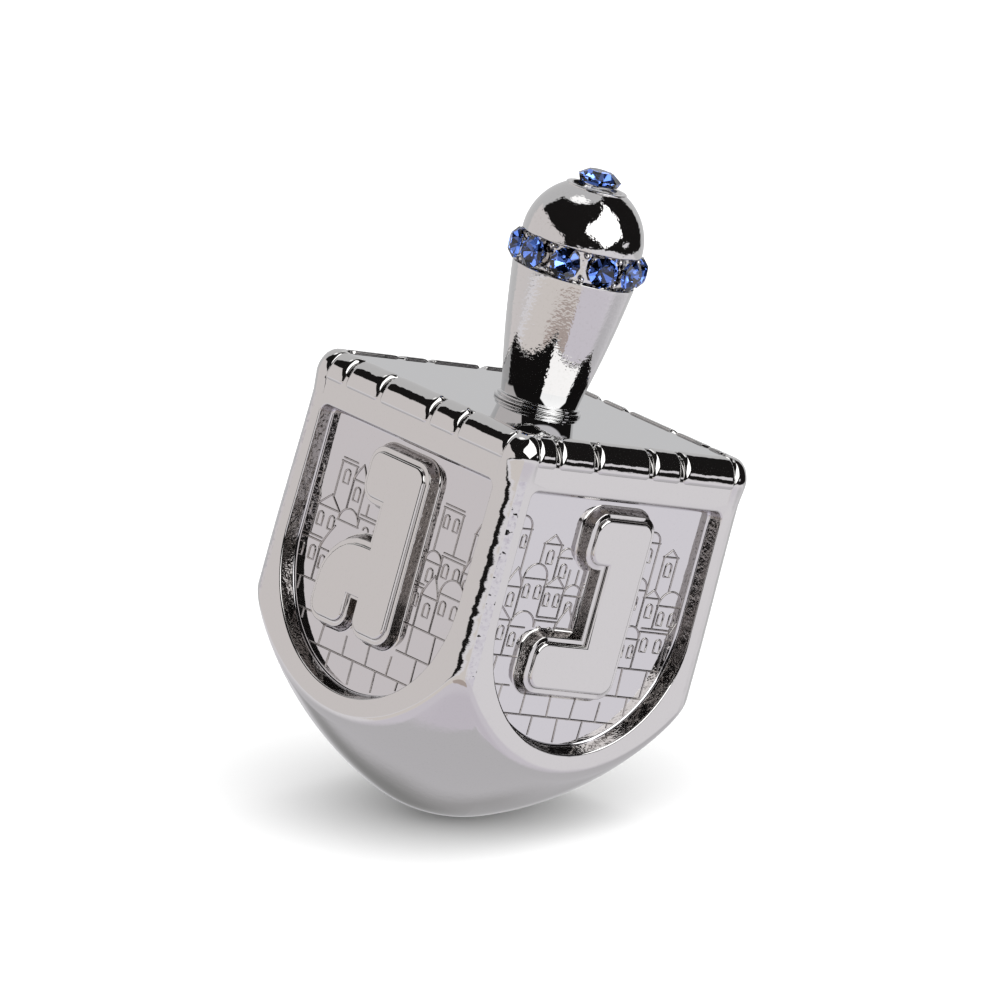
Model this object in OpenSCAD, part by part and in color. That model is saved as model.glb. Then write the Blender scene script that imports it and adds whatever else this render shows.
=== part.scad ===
// Four-sided spinning top in plated cast metal, with a jewelled stem.
// Millimetres. +Z runs up the spin axis and the origin is the blunt spinning tip.
// Seen from outside, the faces look along -Y, +X, +Y and -X, in that order.

/* [Body] */
// Width of the body across two opposite faces
body_w = 31; // [28:0.5:36]
// Height from the spinning tip to the flat top
body_h = 40.3; // [37:0.1:46]
// Radius of the upright corners
corner_r = 2.1; // [1.6:0.1:2.8]
// Radius of the rolled top edge
roll_r = 1.2; // [0.8:0.1:1.4]
// Radius of the blunt spinning tip
nose_r = 13.5; // [10:0.5:17]
// Angle off the axis at which the tip runs into the flank, in degrees
nose_angle = 24.6; // [18:0.2:30]
// Radius of the swelling flank under the faces
flank_r = 32.7; // [29:0.1:42]
// Metal left behind the sunk panels
panel_wall = 1.8; // [1.2:0.1:2.6]
// Metal left under the hollow, along the flank and the tip
foot_wall = 3; // [2:0.1:4.5]

/* [Panels] */
// Width of the plain frame beside each panel
frame_side = 2.95; // [2.4:0.05:4]
// Height of the plain frame above each panel
frame_head = 4.9; // [4.2:0.1:6]
// Height of the plain frame under each panel
frame_foot = 2.25; // [1.6:0.05:3.5]
// Radius of each panel's two upper corners
panel_corner_r = 0.9; // [0.4:0.1:2]
// Depth that each panel is sunk into its face
panel_depth = 1.65; // [1.2:0.05:2.4]

/* [Letters] */
// Height of the letters
letter_h = 16.3; // [13:0.1:18]
// Width of the letters' strokes
stroke_w = 3.8; // [3:0.1:4.4]
// Gap between a panel's top edge and its letter
letter_drop = 2.25; // [1.5:0.05:4]
// How far the letters stay below the face
letter_sunk = 0.1; // [0.05:0.05:0.4]
// Height of the letters above the plinth that each stands on
letter_step = 0.4; // [0.2:0.05:0.7]
// How far that plinth reaches out round its letter
plinth_w = 0.9; // [0.5:0.05:0.95]
// Width across the letter with a long foot
nun_w = 9.95; // [8:0.05:11]
// Right end of that letter, from the panel's middle
nun_right = 3.85; // [3:0.05:4.5]
// Width across that letter's short head
nun_head_w = 6.25; // [5:0.05:7.5]
// Width across the head of the letter with a bent leg
gimel_head_w = 6.75; // [5.5:0.05:8]
// Right end of that letter, from the panel's middle
gimel_right = 3.15; // [2.5:0.05:4]
// Width across that letter at its bent leg
gimel_w = 9.65; // [9:0.05:10.5]
// Height of the bent leg
leg_h = 7.2; // [6:0.1:8]
// Outer radius of its bend, which starts level with the top of the notch
leg_r = 4.25; // [3:0.05:5]
// Width of the notch between the leg and the upright
notch_w = 2.1; // [2:0.05:2.6]
// Width across the three-pronged letter and the gate-shaped letter
wide_letter_w = 12.6; // [11.5:0.1:15]
// Height of the separate short leg of the gate-shaped letter
short_leg_h = 9.4; // [6:0.1:10]
// Width of the prongs of the three-pronged letter
prong_w = 2.4; // [1.8:0.1:2.6]

/* [Edge blocks] */
// Width of the rim that carries the blocks, from the face inwards
rim_w = 2; // [1.7:0.1:3]
// How far the blocks stand proud of the top and of the shelf that they sit on
block_rise = 0.2; // [0.1:0.05:0.4]
// How far the blocks reach down the face
block_drop = 2.6; // [2:0.1:3.6]
// Width of the grooves between the blocks
block_gap = 0.45; // [0.2:0.05:0.8]

/* [Top plate] */
// Thickness of the top plate
plate_t = 1.6; // [1:0.1:2.4]
// Radius of the top plate's corners
plate_corner_r = 1; // [0.5:0.1:2]
// Gap between the top plate and its rebate
plate_clear = 0.1; // [0.05:0.01:0.2]

/* [Stem] */
// Radius of the thin flange at the foot of the stem
flange_r = 4.25; // [4:0.05:5.5]
// Thickness of that flange
flange_t = 0.4; // [0.3:0.05:0.8]
// Radius of the bead ring on the flange
bead_ring_r = 3.95; // [3.8:0.05:4.6]
// Height of the bead ring
bead_ring_h = 0.45; // [0.2:0.05:0.8]
// Radius of the neck, where the grip is thinnest
neck_r = 3.6; // [3.2:0.05:3.9]
// Radius of the grip under the stones
grip_r = 5.95; // [5.7:0.05:7]
// Length of the tapering grip
grip_h = 12.15; // [9:0.05:16]
// Height of the channel that holds the band of stones
channel_h = 3.4; // [3.2:0.05:4]
// Depth of that channel
channel_depth = 0.8; // [0.4:0.05:1.1]
// Radius of the dome
dome_r = 5.85; // [5.6:0.05:6.8]
// Height of the dome, from the channel to the top seat
dome_h = 4.85; // [4.2:0.05:5]
// Radius of the top seat
seat_r = 2.95; // [2.6:0.05:3.2]
// Height of the top seat
seat_h = 0.4; // [0.2:0.05:0.8]
// Radius of the spigot under the flange
spigot_r = 2.4; // [2.1:0.05:2.8]
// Gap between the spigot and the hole in the top plate
spigot_clear = 0.1; // [0.05:0.01:0.2]
// How far the spigot stays short of the plate's underside
spigot_short = 0.2; // [0.1:0.05:0.4]

/* [Stones] */
// Diameter of the stones in the band
stone_d = 3.05; // [2.6:0.05:3.15]
// Diameter of the stone on the dome
top_stone_d = 4.3; // [3.8:0.05:4.6]
// Thickness of a stone's girdle
girdle_t = 0.25; // [0.15:0.05:0.4]
// How far the girdles of the band stones stand out of the channel
stone_proud = 0.85; // [0.4:0.05:1.1]
// How far the girdle of the top stone stands out of its seat
top_stone_proud = 0.6; // [0.2:0.05:1]
// Slope of a stone's crown off its girdle, in degrees
crown_slope = 41; // [30:1:48]
// Slope of a stone's back off its girdle, in degrees
back_slope = 42; // [38:1:46]
// Share of a stone's width that its flat table takes
table_share = 0.48; // [0.4:0.02:0.6]
// Gap between a stone and its seat
stone_clear = 0.05; // [0.02:0.01:0.08]
// Radius of the prongs between the stones
grain_r = 0.3; // [0.2:0.05:0.35]
// Height of the prongs, from the channel to the middle of their round heads
grain_h = 0.5; // [0.2:0.05:0.8]
// How far the prongs stand above and below the middle of the band
grain_rise = 1.15; // [0.9:0.05:1.3]
// Angle of the first stone about the axis, in degrees
stone_phase = 18; // [0:1:35]

/* [Fixing] */
// Diameter of the screw's shank
screw_d = 3; // [2:0.1:3]
// Length of the screw under its head
screw_len = 8; // [6:0.5:12]
// Diameter of the screw's head
screw_head_d = 5.4; // [4.8:0.1:6]
// Height of the screw's head
screw_head_h = 2; // [1.6:0.1:2.4]
// Length of the driver slots in the head
driver_len = 3; // [2.4:0.1:4]
// Width of the driver slots
driver_w = 0.8; // [0.5:0.1:1.2]
// Depth of the driver slots
driver_depth = 1.1; // [0.8:0.1:1.4]
// Gap between the screw and its holes
screw_clear = 0.06; // [0.03:0.01:0.1]
// Spare depth of the screw hole past the screw's end
hole_spare = 1; // [0.5:0.1:2]
// Diameter of the lock washer
washer_d = 6.6; // [6.1:0.1:8]
// Thickness of the lock washer
washer_t = 0.7; // [0.4:0.1:1]

/* [Hidden] */
$fn = 96;
eps = 0.01;
far = 100;
half_w = body_w / 2;

// The blocks' boundaries along a face, as shares of the run from left to right
block_shares = [0, 0.11, 0.3, 0.575, 0.73, 1];
edge_w = body_w - 2 * corner_r;
block_run = edge_w - block_gap;

// The lower profile: a nose arc, then a flank arc that meets it on one normal
flank_x = (nose_r - flank_r) * sin(nose_angle);
flank_z = nose_r + (flank_r - nose_r) * cos(nose_angle);
function profile_z(r) = r <= nose_r * sin(nose_angle)
    ? nose_r - sqrt(nose_r * nose_r - r * r)
    : flank_z - sqrt(flank_r * flank_r - (r - flank_x) * (r - flank_x));

// Panels and letters, as heights above the tip
panel_w = body_w - 2 * frame_side;
panel_top = body_h - frame_head;
panel_bottom = profile_z(half_w) + frame_foot;
letter_foot = panel_top - letter_drop - letter_h;
letter_rise = panel_depth - letter_sunk;

// The hollow, the rebate and the top plate
hollow_w = body_w - 2 * (panel_depth + panel_wall);
rebate_w = body_w - 2 * rim_w;
plate_w = rebate_w - 2 * plate_clear;
plate_z = body_h - plate_t;

// The stem's steps, as heights above the tip
grip_z = body_h + flange_t + bead_ring_h;
channel_z = grip_z + grip_h;
dome_z = channel_z + channel_h;
seat_z = dome_z + dome_h;
seat_top = seat_z + seat_h;
channel_r = grip_r - channel_depth;
band_z = channel_z + channel_h / 2;
washer_z = plate_z - washer_t;

STONE_NAMES = [for (i = [1:10]) str("band_stone_", i < 10 ? "0" : "", i)];

// A square with rounded corners, centred on the axis
module rounded_square(w, r) {
    square([w - 2 * r, w], center = true);
    square([w, w - 2 * r], center = true);
    for (x = [-1, 1], y = [-1, 1])
        translate([x * (w / 2 - r), y * (w / 2 - r)]) circle(r);
}

// Half of the turned shape that rounds the body off below, drawn in by inset
module turned_profile(inset) {
    nose_end = nose_r - (nose_r - inset) * cos(nose_angle);
    intersection() {
        translate([0, nose_r]) circle(nose_r - inset);
        square([far, nose_end]);
    }
    intersection() {
        translate([flank_x, flank_z]) circle(flank_r - inset);
        translate([0, nose_end]) square([far, flank_z - nose_end]);
    }
    translate([0, flank_z]) square([flank_x + flank_r - inset, far]);
}

// The body's square block with its rolled top edge
module rolled_block() {
    roll_z = body_h - roll_r;
    linear_extrude(roll_z) rounded_square(body_w, corner_r);
    linear_extrude(body_h) rounded_square(body_w - 2 * roll_r, corner_r - roll_r);
    for (side = [0:3]) rotate(90 * side) {
        translate([0, roll_r - half_w, roll_z]) rotate([0, 90, 0])
            cylinder(r = roll_r, h = edge_w, center = true);
        translate([half_w - corner_r, half_w - corner_r, roll_z]) rotate_extrude() intersection() {
            translate([corner_r - roll_r, 0]) circle(roll_r);
            square([corner_r, roll_r]);
        }
    }
}

// Places a drawing on a face: x to the right, y up from the tip, z out of the face
module on_face(side) {
    rotate(90 * side) translate([0, -half_w, 0]) rotate([90, 0, 0]) children();
}

// Outline of a sunk panel: flat head with small corners, half-round foot
module panel_outline() {
    foot_r = panel_w / 2;
    top_y = panel_top - panel_corner_r;
    translate([0, panel_bottom + foot_r]) circle(foot_r);
    translate([-foot_r, panel_bottom + foot_r]) square([panel_w, top_y - panel_bottom - foot_r]);
    translate([panel_corner_r - foot_r, top_y - eps])
        square([panel_w - 2 * panel_corner_r, panel_corner_r + eps]);
    for (x = [-1, 1]) translate([x * (foot_r - panel_corner_r), top_y]) circle(panel_corner_r);
}

// The letter with a long foot and a short head
module nun_outline(grow) {
    bar(nun_right - nun_w, 0, nun_w, stroke_w, grow);
    bar(nun_right - stroke_w, 0, stroke_w, letter_h, grow);
    bar(nun_right - nun_head_w, letter_h - stroke_w, nun_head_w, stroke_w, grow);
}

// The letter with an upright and a bent leg
module gimel_outline(grow) {
    left = gimel_right - gimel_w;
    inner = gimel_right - stroke_w;
    bar(inner, 0, stroke_w, letter_h, grow);
    bar(gimel_right - gimel_head_w, letter_h - stroke_w, gimel_head_w, stroke_w, grow);
    bar(left, 0, gimel_w - stroke_w - notch_w, leg_h - leg_r, grow);
    bar(left + leg_r, leg_h - leg_r, inner - left - leg_r, leg_r, grow);
    intersection() {
        translate([left + leg_r, leg_h - leg_r]) circle(leg_r + grow);
        bar(left, leg_h - leg_r, leg_r, leg_r, grow);
    }
}

// The gate-shaped letter with a separate short leg
module hei_outline(grow) {
    left = -wide_letter_w / 2;
    bar(left, letter_h - stroke_w, wide_letter_w, stroke_w, grow);
    bar(-left - stroke_w, 0, stroke_w, letter_h, grow);
    bar(left, 0, stroke_w, short_leg_h, grow);
}

// The letter with three prongs on a broad foot
module shin_outline(grow) {
    left = -wide_letter_w / 2;
    bar(left, 0, wide_letter_w, stroke_w, grow);
    for (x = [left, -prong_w / 2, -left - prong_w]) bar(x, 0, prong_w, letter_h, grow);
}

// A bar of a letter from its lower left corner, grown on all sides
module bar(x, y, w, h, grow) {
    translate([x - grow, y - grow]) square([w + 2 * grow, h + 2 * grow]);
}

module letter_outline(side, grow) {
    if (side == 0) gimel_outline(grow);
    if (side == 1) nun_outline(grow);
    if (side == 2) shin_outline(grow);
    if (side == 3) hei_outline(grow);
}

// A raised letter on its plinth, from the panel's floor up
module letter(side) {
    translate([0, letter_foot, -panel_depth - eps]) {
        linear_extrude(letter_rise - letter_step + eps) letter_outline(side, plinth_w);
        linear_extrude(letter_rise + eps) letter_outline(side, 0);
    }
}

// Section of an edge block, level with the face: seen along the edge with the face to the right
module block_section() {
    outer_r = roll_r + block_rise;
    translate([-rim_w, -block_drop]) square([rim_w - outer_r, block_drop + block_rise]);
    translate([-rim_w, -block_drop]) square([rim_w, block_drop - roll_r]);
    translate([-outer_r, -roll_r]) circle(outer_r);
}

// The shelf above a panel that the blocks stand on
module block_shelf() {
    translate([-edge_w / 2, panel_top, -block_rise]) cube([edge_w, far, far]);
}

// The row of blocks along one top edge
module edge_blocks() {
    for (i = [0:len(block_shares) - 2]) {
        start = block_shares[i] * block_run + block_gap / 2 - block_run / 2;
        end = block_shares[i + 1] * block_run - block_gap / 2 - block_run / 2;
        translate([end, body_h, 0]) rotate([0, -90, 0]) linear_extrude(end - start) block_section();
    }
}

// The cast body: hollow block, sunk panels with raised letters, blocks along the top
module body() {
    color("silver") {
        difference() {
            union() {
                difference() {
                    intersection() {
                        rolled_block();
                        rotate_extrude() turned_profile(0);
                    }
                    for (side = [0:3]) on_face(side) block_shelf();
                }
                for (side = [0:3]) on_face(side) edge_blocks();
            }
            intersection() {
                linear_extrude(body_h) rounded_square(hollow_w, corner_r);
                rotate_extrude() turned_profile(foot_wall);
            }
            translate([0, 0, plate_z]) linear_extrude(far) rounded_square(rebate_w, plate_corner_r);
            for (side = [0:3]) on_face(side)
                translate([0, 0, -panel_depth]) linear_extrude(far) panel_outline();
        }
        for (side = [0:3]) on_face(side) letter(side);
    }
}

// The polished plate that closes the top and carries the stem
module top_plate() {
    color("gainsboro") translate([0, 0, plate_z]) linear_extrude(plate_t) difference() {
        rounded_square(plate_w, plate_corner_r);
        circle(spigot_r + spigot_clear);
    }
}

// Half of a cut stone's section, girdle at height 0: pointed back below, crown and table above
module stone_section(d) {
    r = d / 2;
    table_r = d * table_share / 2;
    table_z = girdle_t + (r - table_r) * tan(crown_slope);
    polygon([[0, -r * tan(back_slope)], [r, 0], [r, girdle_t], [table_r, table_z], [0, table_z]]);
}

// Room for a stone: its back with a gap all round, open above the girdle
module stone_seat(d) {
    r = d / 2 + stone_clear;
    cylinder(r = r, h = d);
    translate([0, 0, -r * tan(back_slope)]) cylinder(r1 = 0, r2 = r, h = r * tan(back_slope));
}

// Places a piece on the band, with its own +Z pointing away from the axis
module on_band(angle, height, out) {
    rotate(angle) translate([out, 0, height]) rotate([0, 90, 0]) children();
}

// A prong of the band, rooted under the channel
module prong() {
    cylinder(r = grain_r, h = channel_r + grain_h);
    translate([0, 0, channel_r + grain_h]) sphere(grain_r);
}

// The turned stem: flange, grip, channel with stone seats and grains, dome and top seat
module stem() {
    stone_out = channel_r + stone_proud - girdle_t;
    step = 360 / len(STONE_NAMES);
    color("silver") difference() {
        union() {
            translate([0, 0, body_h]) cylinder(r = flange_r, h = flange_t);
            translate([0, 0, body_h]) cylinder(r = bead_ring_r, h = flange_t + bead_ring_h);
            translate([0, 0, grip_z]) cylinder(r1 = neck_r, r2 = grip_r, h = grip_h);
            translate([0, 0, channel_z]) cylinder(r = channel_r, h = channel_h);
            intersection() {
                translate([0, 0, dome_z]) sphere(dome_r);
                translate([0, 0, dome_z]) cylinder(r = far, h = dome_h);
            }
            translate([0, 0, seat_z]) cylinder(r = seat_r, h = seat_h);
            translate([0, 0, body_h - plate_t + spigot_short]) cylinder(r = spigot_r, h = plate_t);
            for (i = [0:len(STONE_NAMES) - 1], up = [-1, 1])
                on_band(stone_phase + (i + 0.5) * step, band_z + up * grain_rise, 0) prong();
        }
        for (i = [0:len(STONE_NAMES) - 1])
            on_band(stone_phase + i * step, band_z, stone_out) stone_seat(stone_d);
        translate([0, 0, seat_top + top_stone_proud - girdle_t]) stone_seat(top_stone_d);
        translate([0, 0, washer_z])
            cylinder(r = screw_d / 2 + screw_clear, h = screw_len + hole_spare);
    }
}

// The screw that holds the stem down from inside
module stem_screw() {
    color("darkgray") difference() {
        union() {
            translate([0, 0, washer_z]) cylinder(d = screw_d, h = screw_len);
            translate([0, 0, washer_z - screw_head_h]) cylinder(d = screw_head_d, h = screw_head_h);
        }
        for (turn = [0, 90]) rotate(turn) translate([0, 0, washer_z - screw_head_h])
            cube([driver_len, driver_w, 2 * driver_depth], center = true);
    }
}

// The washer under the screw's head
module lock_washer() {
    color("dimgray") translate([0, 0, washer_z]) difference() {
        cylinder(d = washer_d, h = washer_t);
        translate([0, 0, -eps]) cylinder(r = screw_d / 2 + screw_clear, h = washer_t + 2 * eps);
    }
}

// A round cut-glass stone of the band
module band_stone(i) {
    turn = stone_phase + i * 360 / len(STONE_NAMES);
    color("royalblue") on_band(turn, band_z, channel_r + stone_proud - girdle_t)
        rotate_extrude() stone_section(stone_d);
}

// The round cut-glass stone on the dome
module top_stone() {
    color("royalblue") translate([0, 0, seat_top + top_stone_proud - girdle_t])
        rotate_extrude() stone_section(top_stone_d);
}

body();
top_plate();
stem();
stem_screw();
lock_washer();
top_stone();
for (i = [0:len(STONE_NAMES) - 1])
    band_stone(i);
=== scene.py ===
"""Bright nickel dreidel with blue cut stones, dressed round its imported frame.

Sizes in the classes are millimetres, as a maker would write them, and every mesh is made in metres.
"""
import logging
import math
from dataclasses import dataclass
from enum import Enum, IntEnum
from typing import Callable, Iterable, Optional, Sequence, Union

import bmesh
import bpy
from mathutils import Matrix, Vector


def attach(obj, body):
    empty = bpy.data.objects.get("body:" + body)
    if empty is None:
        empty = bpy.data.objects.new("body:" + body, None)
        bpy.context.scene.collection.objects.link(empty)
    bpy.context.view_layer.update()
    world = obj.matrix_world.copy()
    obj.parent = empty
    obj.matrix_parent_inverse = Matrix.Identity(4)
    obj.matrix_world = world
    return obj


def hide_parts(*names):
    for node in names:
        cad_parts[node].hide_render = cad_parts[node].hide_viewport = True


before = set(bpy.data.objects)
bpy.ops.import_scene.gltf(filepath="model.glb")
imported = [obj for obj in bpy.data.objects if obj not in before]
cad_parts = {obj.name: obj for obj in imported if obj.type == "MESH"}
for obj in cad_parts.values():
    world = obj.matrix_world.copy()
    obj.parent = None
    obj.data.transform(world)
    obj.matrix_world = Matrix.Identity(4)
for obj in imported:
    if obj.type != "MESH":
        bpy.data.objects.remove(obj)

LOG = logging.getLogger("dreidel")
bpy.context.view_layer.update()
MM = 0.001
GRID_PER_MM = 2000
SHARP_FROM = math.radians(32)
PIT_RANGE = (0.55, 0.8)
BODY = "root"
Point = tuple[float, float, float]
Colour = tuple[float, float, float]
Flat = tuple[float, float]
Spot = tuple[Flat, Flat]
Socket = bpy.types.NodeSocket
Value = Union[float, Sequence[float], Socket]


class Side(Enum):
    """The four faces, numbered in quarter turns from the front."""

    FRONT = 0
    RIGHT = 1
    BACK = 2
    LEFT = 3


class Roof(Enum):
    """The roof shapes of the little houses."""

    FLAT = "flat"
    DOME = "dome"
    GABLE = "gable"
    SPIRE = "spire"


class Slot(IntEnum):
    """The material slots of the body. The letters have the first two."""

    CASTING = 0
    WALL = 1
    FLOOR = 2
    CORNER = 3
    SEAM = 4


class Skin:
    """Points and faces of one piece, in millimetres, with shared points merged."""

    def __init__(self) -> None:
        """Start with no points and no faces."""
        self.points: list[Point] = []
        self.faces: list[tuple[list[int], int]] = []
        self.found: dict[tuple[int, int, int], int] = {}

    def point(self, place: Sequence[float]) -> int:
        """Find the point at a place, made once.

        Args:
            place: the place in millimetres.
        Returns:
            The point's number.
        """
        key = tuple(round(value * GRID_PER_MM) for value in place)
        if key not in self.found:
            self.found[key] = len(self.points)
            self.points.append(tuple(place))
        return self.found[key]

    def face(self, places: Iterable[Sequence[float]], slot: int = 0) -> None:
        """Add one face, leaving out corners that fall together.

        Args:
            places: the corners in order.
            slot: the material slot of the face.
        """
        ring: list[int] = []
        for place in places:
            number = self.point(place)
            if number not in ring:
                ring.append(number)
        if len(ring) > 2:
            self.faces.append((ring, slot))

    def strip(self, one: Sequence[Point], two: Sequence[Point], closed: bool = True, slot: int = 0) -> None:
        """Join two rows of as many points by a strip of quads.

        Args:
            one: the first row.
            two: the second row.
            closed: whether the rows are rings.
            slot: the material slot of the strip.
        """
        count = len(one) if closed else len(one) - 1
        for i in range(count):
            j = (i + 1) % len(one)
            self.face((one[i], one[j], two[j], two[i]), slot)

    def rows(self, rows: Sequence[Sequence[Point]]) -> None:
        """Join rings of points in order by strips of quads."""
        for one, two in zip(rows, rows[1:]):
            self.strip(one, two)

    def to_object(self, name: str, finishes: Sequence[bpy.types.Material],
                  even: bool = True) -> bpy.types.Object:
        """Make the piece's mesh object, faces outward.

        Args:
            name: the piece's name.
            finishes: the materials of its slots.
            even: whether to shade it smoothly, with flats kept flat.
        Returns:
            The linked object.
        """
        mesh = bpy.data.meshes.new(name)
        shape = bmesh.new()
        corners = [shape.verts.new(Vector(place) * MM) for place in self.points]
        for ring, slot in self.faces:
            try:
                made = shape.faces.new([corners[i] for i in ring])
            except ValueError:
                continue
            made.material_index = slot
            made.smooth = even
        loose = [corner for corner in shape.verts if not corner.link_faces]
        bmesh.ops.delete(shape, geom=loose, context="VERTS")
        bmesh.ops.recalc_face_normals(shape, faces=shape.faces[:])
        shape.to_mesh(mesh)
        shape.free()
        piece = bpy.data.objects.new(name, mesh)
        bpy.context.scene.collection.objects.link(piece)
        for finish in finishes:
            mesh.materials.append(finish)
        if even:
            mesh.set_sharp_from_angle(angle=SHARP_FROM)
            shading = piece.modifiers.new("even_shading", "WEIGHTED_NORMAL")
            shading.mode = "FACE_AREA"
            shading.keep_sharp = True
            settle(piece)
        return piece


def settle(piece: bpy.types.Object) -> None:
    """Turn a piece's modifiers into its plain mesh.

    Args:
        piece: the piece, changed in place.
    """
    graph = bpy.context.evaluated_depsgraph_get()
    graph.update()
    made = bpy.data.meshes.new_from_object(piece.evaluated_get(graph), depsgraph=graph)
    old = piece.data
    piece.modifiers.clear()
    piece.data = made
    made.name = piece.name
    bpy.data.meshes.remove(old)


def hand_over(piece: bpy.types.Object, slot: str, *nodes: str) -> bpy.types.Object:
    """Tie a finished piece to the frame.

    Args:
        piece: the finished piece.
        slot: the record's material slot; not used.
        nodes: the frame's nodes that the piece stands for.
    Returns:
        The same piece.
    """
    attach(piece, BODY)
    if nodes:
        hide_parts(*nodes)
    LOG.info("%s: %d faces", piece.name, len(piece.data.polygons))
    return piece


def smooth_step(low: float, high: float, value: float) -> float:
    """Rise smoothly from 0 at low to 1 at high."""
    share = min(1.0, max(0.0, (value - low) / (high - low)))
    return share * share * (3 - 2 * share)


def turned(place: Point, side: Side) -> Point:
    """Turn a place on the front face to another face.

    Args:
        place: the place on the front face.
        side: the other face.
    Returns:
        The same place on that face.
    """
    x, y, z = place
    for _ in range(side.value):
        x, y = -y, x
    return (x, y, z)


def quarter(steps: int) -> list[float]:
    """Angles from 0 to a quarter turn, in even steps."""
    return [math.pi / 2 * i / steps for i in range(steps + 1)]


def on_arc(centre: Flat, radius: float, angle: float) -> Spot:
    """A point of an arc, with its outward normal."""
    normal = (math.cos(angle), math.sin(angle))
    return ((centre[0] + radius * normal[0], centre[1] + radius * normal[1]), normal)


def arc(centre: Flat, radius: float, start: float, end: float, steps: int) -> list[Flat]:
    """Points along an arc.

    Args:
        centre: the arc's centre.
        radius: its radius.
        start: its first angle in degrees.
        end: its last angle in degrees.
        steps: the number of steps.
    Returns:
        steps + 1 points.
    """
    turns = [math.radians(start + (end - start) * i / steps) for i in range(steps + 1)]
    return [on_arc(centre, radius, turn)[0] for turn in turns]


def softened(corners: Sequence[Point], steps: int) -> list[Flat]:
    """Round the corners of an open outline.

    Args:
        corners: x, y and rounding radius of each corner.
        steps: steps in each rounding.
    Returns:
        The outline's points, the ends as they were.
    """
    outline: list[Flat] = [corners[0][:2]]
    for last, (x, y, radius), following in zip(corners, corners[1:], corners[2:]):
        here = Vector((x, y))
        before = (here - Vector(last[:2])).normalized()
        after = (Vector(following[:2]) - here).normalized()
        turn = math.atan2(before.x * after.y - before.y * after.x, before.dot(after))
        reach = radius * math.tan(abs(turn) / 2)
        first = Vector((before.y, -before.x))
        hub = here - before * reach - first * math.copysign(radius, turn)
        for k in range(steps + 1):
            angle = turn * k / steps
            normal = Vector((first.x * math.cos(angle) - first.y * math.sin(angle),
                             first.x * math.sin(angle) + first.y * math.cos(angle)))
            spot = hub + normal * math.copysign(radius, turn)
            outline.append((spot.x, spot.y))
    return [*outline, corners[-1][:2]]


def lathe(profile: Sequence[Flat], sides: int, split: float) -> Skin:
    """Turn a profile round the spin axis.

    Args:
        profile: radius and height of each point, both ends on the axis.
        sides: points round the axis.
        split: the height above which the second slot starts.
    Returns:
        The closed skin.
    """
    skin = Skin()
    angles = [2 * math.pi * i / sides for i in range(sides)]
    rings = [[(r * math.cos(a), r * math.sin(a), z) for a in angles] for r, z in profile]
    for (_, z), one, two in zip(profile, rings, rings[1:]):
        skin.strip(one, two, slot=1 if z > split else 0)
    return skin


class Nodes:
    """A short hand for building a node tree."""

    def __init__(self, tree: bpy.types.NodeTree) -> None:
        """Work on a tree, emptied first."""
        self.tree = tree
        tree.nodes.clear()

    def add(self, kind: str, inputs: Optional[dict] = None, **settings: object) -> bpy.types.Node:
        """Add a node, set its options, and set or link its inputs.

        Args:
            kind: the node's type name.
            inputs: values or sockets by input name or number.
            settings: the node's own options.
        Returns:
            The node.
        """
        node = self.tree.nodes.new(kind)
        for key, value in settings.items():
            setattr(node, key, value)
        for key, value in (inputs or {}).items():
            self.feed(node, key, value)
        return node

    def feed(self, node: bpy.types.Node, key: Union[str, int], value: Value) -> None:
        """Link a socket to an input of a node, or set the input to a value.

        Args:
            node: the node.
            key: the input's name or number.
            value: the socket or the value.
        """
        if isinstance(value, Socket):
            self.tree.links.new(value, node.inputs[key])
        else:
            node.inputs[key].default_value = value

    def math(self, operation: str, *values: Value) -> Socket:
        """Add a Math node and return its result."""
        return self.add("ShaderNodeMath", dict(enumerate(values)), operation=operation).outputs[0]

    def noise(self, place: Socket, scale: Value) -> Socket:
        """Add a soft noise and return its value."""
        return self.add("ShaderNodeTexNoise", {"Vector": place, "Scale": scale, "Detail": 1.0}).outputs[0]

    def rise(self, value: Socket, low: float, high: float, **settings: object) -> Socket:
        """Return how far a value has come from low to high, from 0 to 1."""
        node = self.add("ShaderNodeMapRange", {"Value": value, "From Min": low, "From Max": high}, **settings)
        return node.outputs[0]

    def mix(self, share: Value, one: Value, two: Value) -> Socket:
        """Mix two colours.

        Args:
            share: how much of the second colour to take.
            one: the first colour.
            two: the second colour.
        Returns:
            The mixed colour.
        """
        node = self.add("ShaderNodeMix", {0: share}, data_type="RGBA")
        for key, value in ((6, one), (7, two)):
            self.feed(node, key, value if isinstance(value, Socket) else (*value, 1.0))
        return node.outputs[2]


def new_material(name: str) -> tuple[bpy.types.Material, Nodes]:
    """Make a material and a short hand for its tree.

    Args:
        name: the material's name.
    Returns:
        The material and its nodes.
    """
    made = bpy.data.materials.new(name)
    made.use_nodes = True
    return made, Nodes(made.node_tree)


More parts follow.
